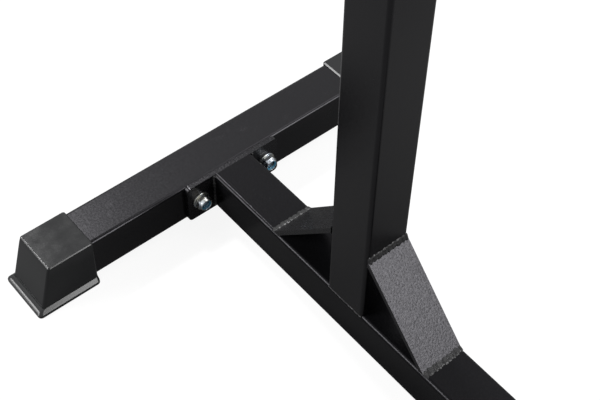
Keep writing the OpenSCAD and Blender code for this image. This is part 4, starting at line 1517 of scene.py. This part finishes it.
def staples(pitch):
    """Flat-wire staples along both hems under the beam: a round-shouldered bar with its two legs let in."""
    shoulder = [(5.0, 3.0), (5.0, 0.2), (4.85, -0.25), (4.5, -0.45)]
    path = [(-u, v) for u, v in shoulder] + [(0.0, -0.5)] + shoulder[::-1]
    section = [(-0.65, -0.28), (-0.5, -0.34), (0.5, -0.34), (0.65, -0.28)]
    section += [(-u, -v) for u, v in section]
    wire = Solid()
    first, last = COVER_LOW[0] + 32.0, COVER_HIGH[0] - 31.0
    places = np.arange(first, last, pitch)
    # each staple sits a little askew, by a slant in radians and a shift both ways
    spread = np.random.default_rng(7)
    for way in (-1, 1):
        for x in places:
            slant = spread.normal(0, 0.05)
            cx, cy = x + spread.normal(0, 1.2), way * (HEM_Y + 5.0) + spread.normal(0, 0.25)
            sine, cosine = math.sin(slant), math.cos(slant)
            points = np.array([(cx + u * cosine, cy + u * sine, COVER_LOW[2] + v) for u, v in path])
            wire.shell(swept(points, section, (sine, -cosine, 0.0)))
    place(wire.make("hem_staples", material("zinc_plate"), 40.0), "beam", "zinc_plate")


# ---------------------------------------------------------------- panel


OPERATORS = (
    BEAM_OT_finish_solids,
    BEAM_OT_end_caps,
    BEAM_OT_flange_fasteners,
    BEAM_OT_saddle_fasteners,
    BEAM_OT_welds,
    BEAM_OT_post_bushes,
    BEAM_OT_lock_pins,
    BEAM_OT_clamps,
    BEAM_OT_cover,
    BEAM_OT_studio,
)


class BEAM_PT_panel(bpy.types.Panel):
    """Lists the pieces of the balance beam and their settings"""

    bl_idname = "BEAM_PT_panel"
    bl_label = "Balance Beam"
    bl_space_type = "VIEW_3D"
    bl_region_type = "UI"
    bl_category = "Balance Beam"

    def draw(self, context):
        for settings in (context.scene.beam_sizes, context.scene.beam_colours, context.scene.beam_studio):
            box = self.layout.box()
            for name in settings.__annotations__:
                box.prop(settings, name)
        column = self.layout.column(align=True)
        for operator in OPERATORS:
            column.operator(operator.bl_idname)


CLASSES = (FinishColours, PieceSizes, StudioSettings) + OPERATORS + (BEAM_PT_panel,)


def register():
    """Register the classes and hang the settings on the scene."""
    for c in CLASSES:
        bpy.utils.register_class(c)
    bpy.types.Scene.beam_colours = bpy.props.PointerProperty(type=FinishColours)
    bpy.types.Scene.beam_sizes = bpy.props.PointerProperty(type=PieceSizes)
    bpy.types.Scene.beam_studio = bpy.props.PointerProperty(type=StudioSettings)


def unregister():
    """Take the settings and the classes away again."""
    del bpy.types.Scene.beam_studio
    del bpy.types.Scene.beam_sizes
    del bpy.types.Scene.beam_colours
    for c in reversed(CLASSES):
        bpy.utils.unregister_class(c)


def main():
    """Build every piece and the studio."""
    register()
    bpy.ops.beam.finish_solids()
    bpy.ops.beam.end_caps()
    bpy.ops.beam.flange_fasteners()
    bpy.ops.beam.saddle_fasteners()
    bpy.ops.beam.welds()
    bpy.ops.beam.post_bushes()
    bpy.ops.beam.lock_pins()
    bpy.ops.beam.clamps()
    bpy.ops.beam.cover()
    bpy.ops.beam.studio()


if __name__ == "__main__":
    main()
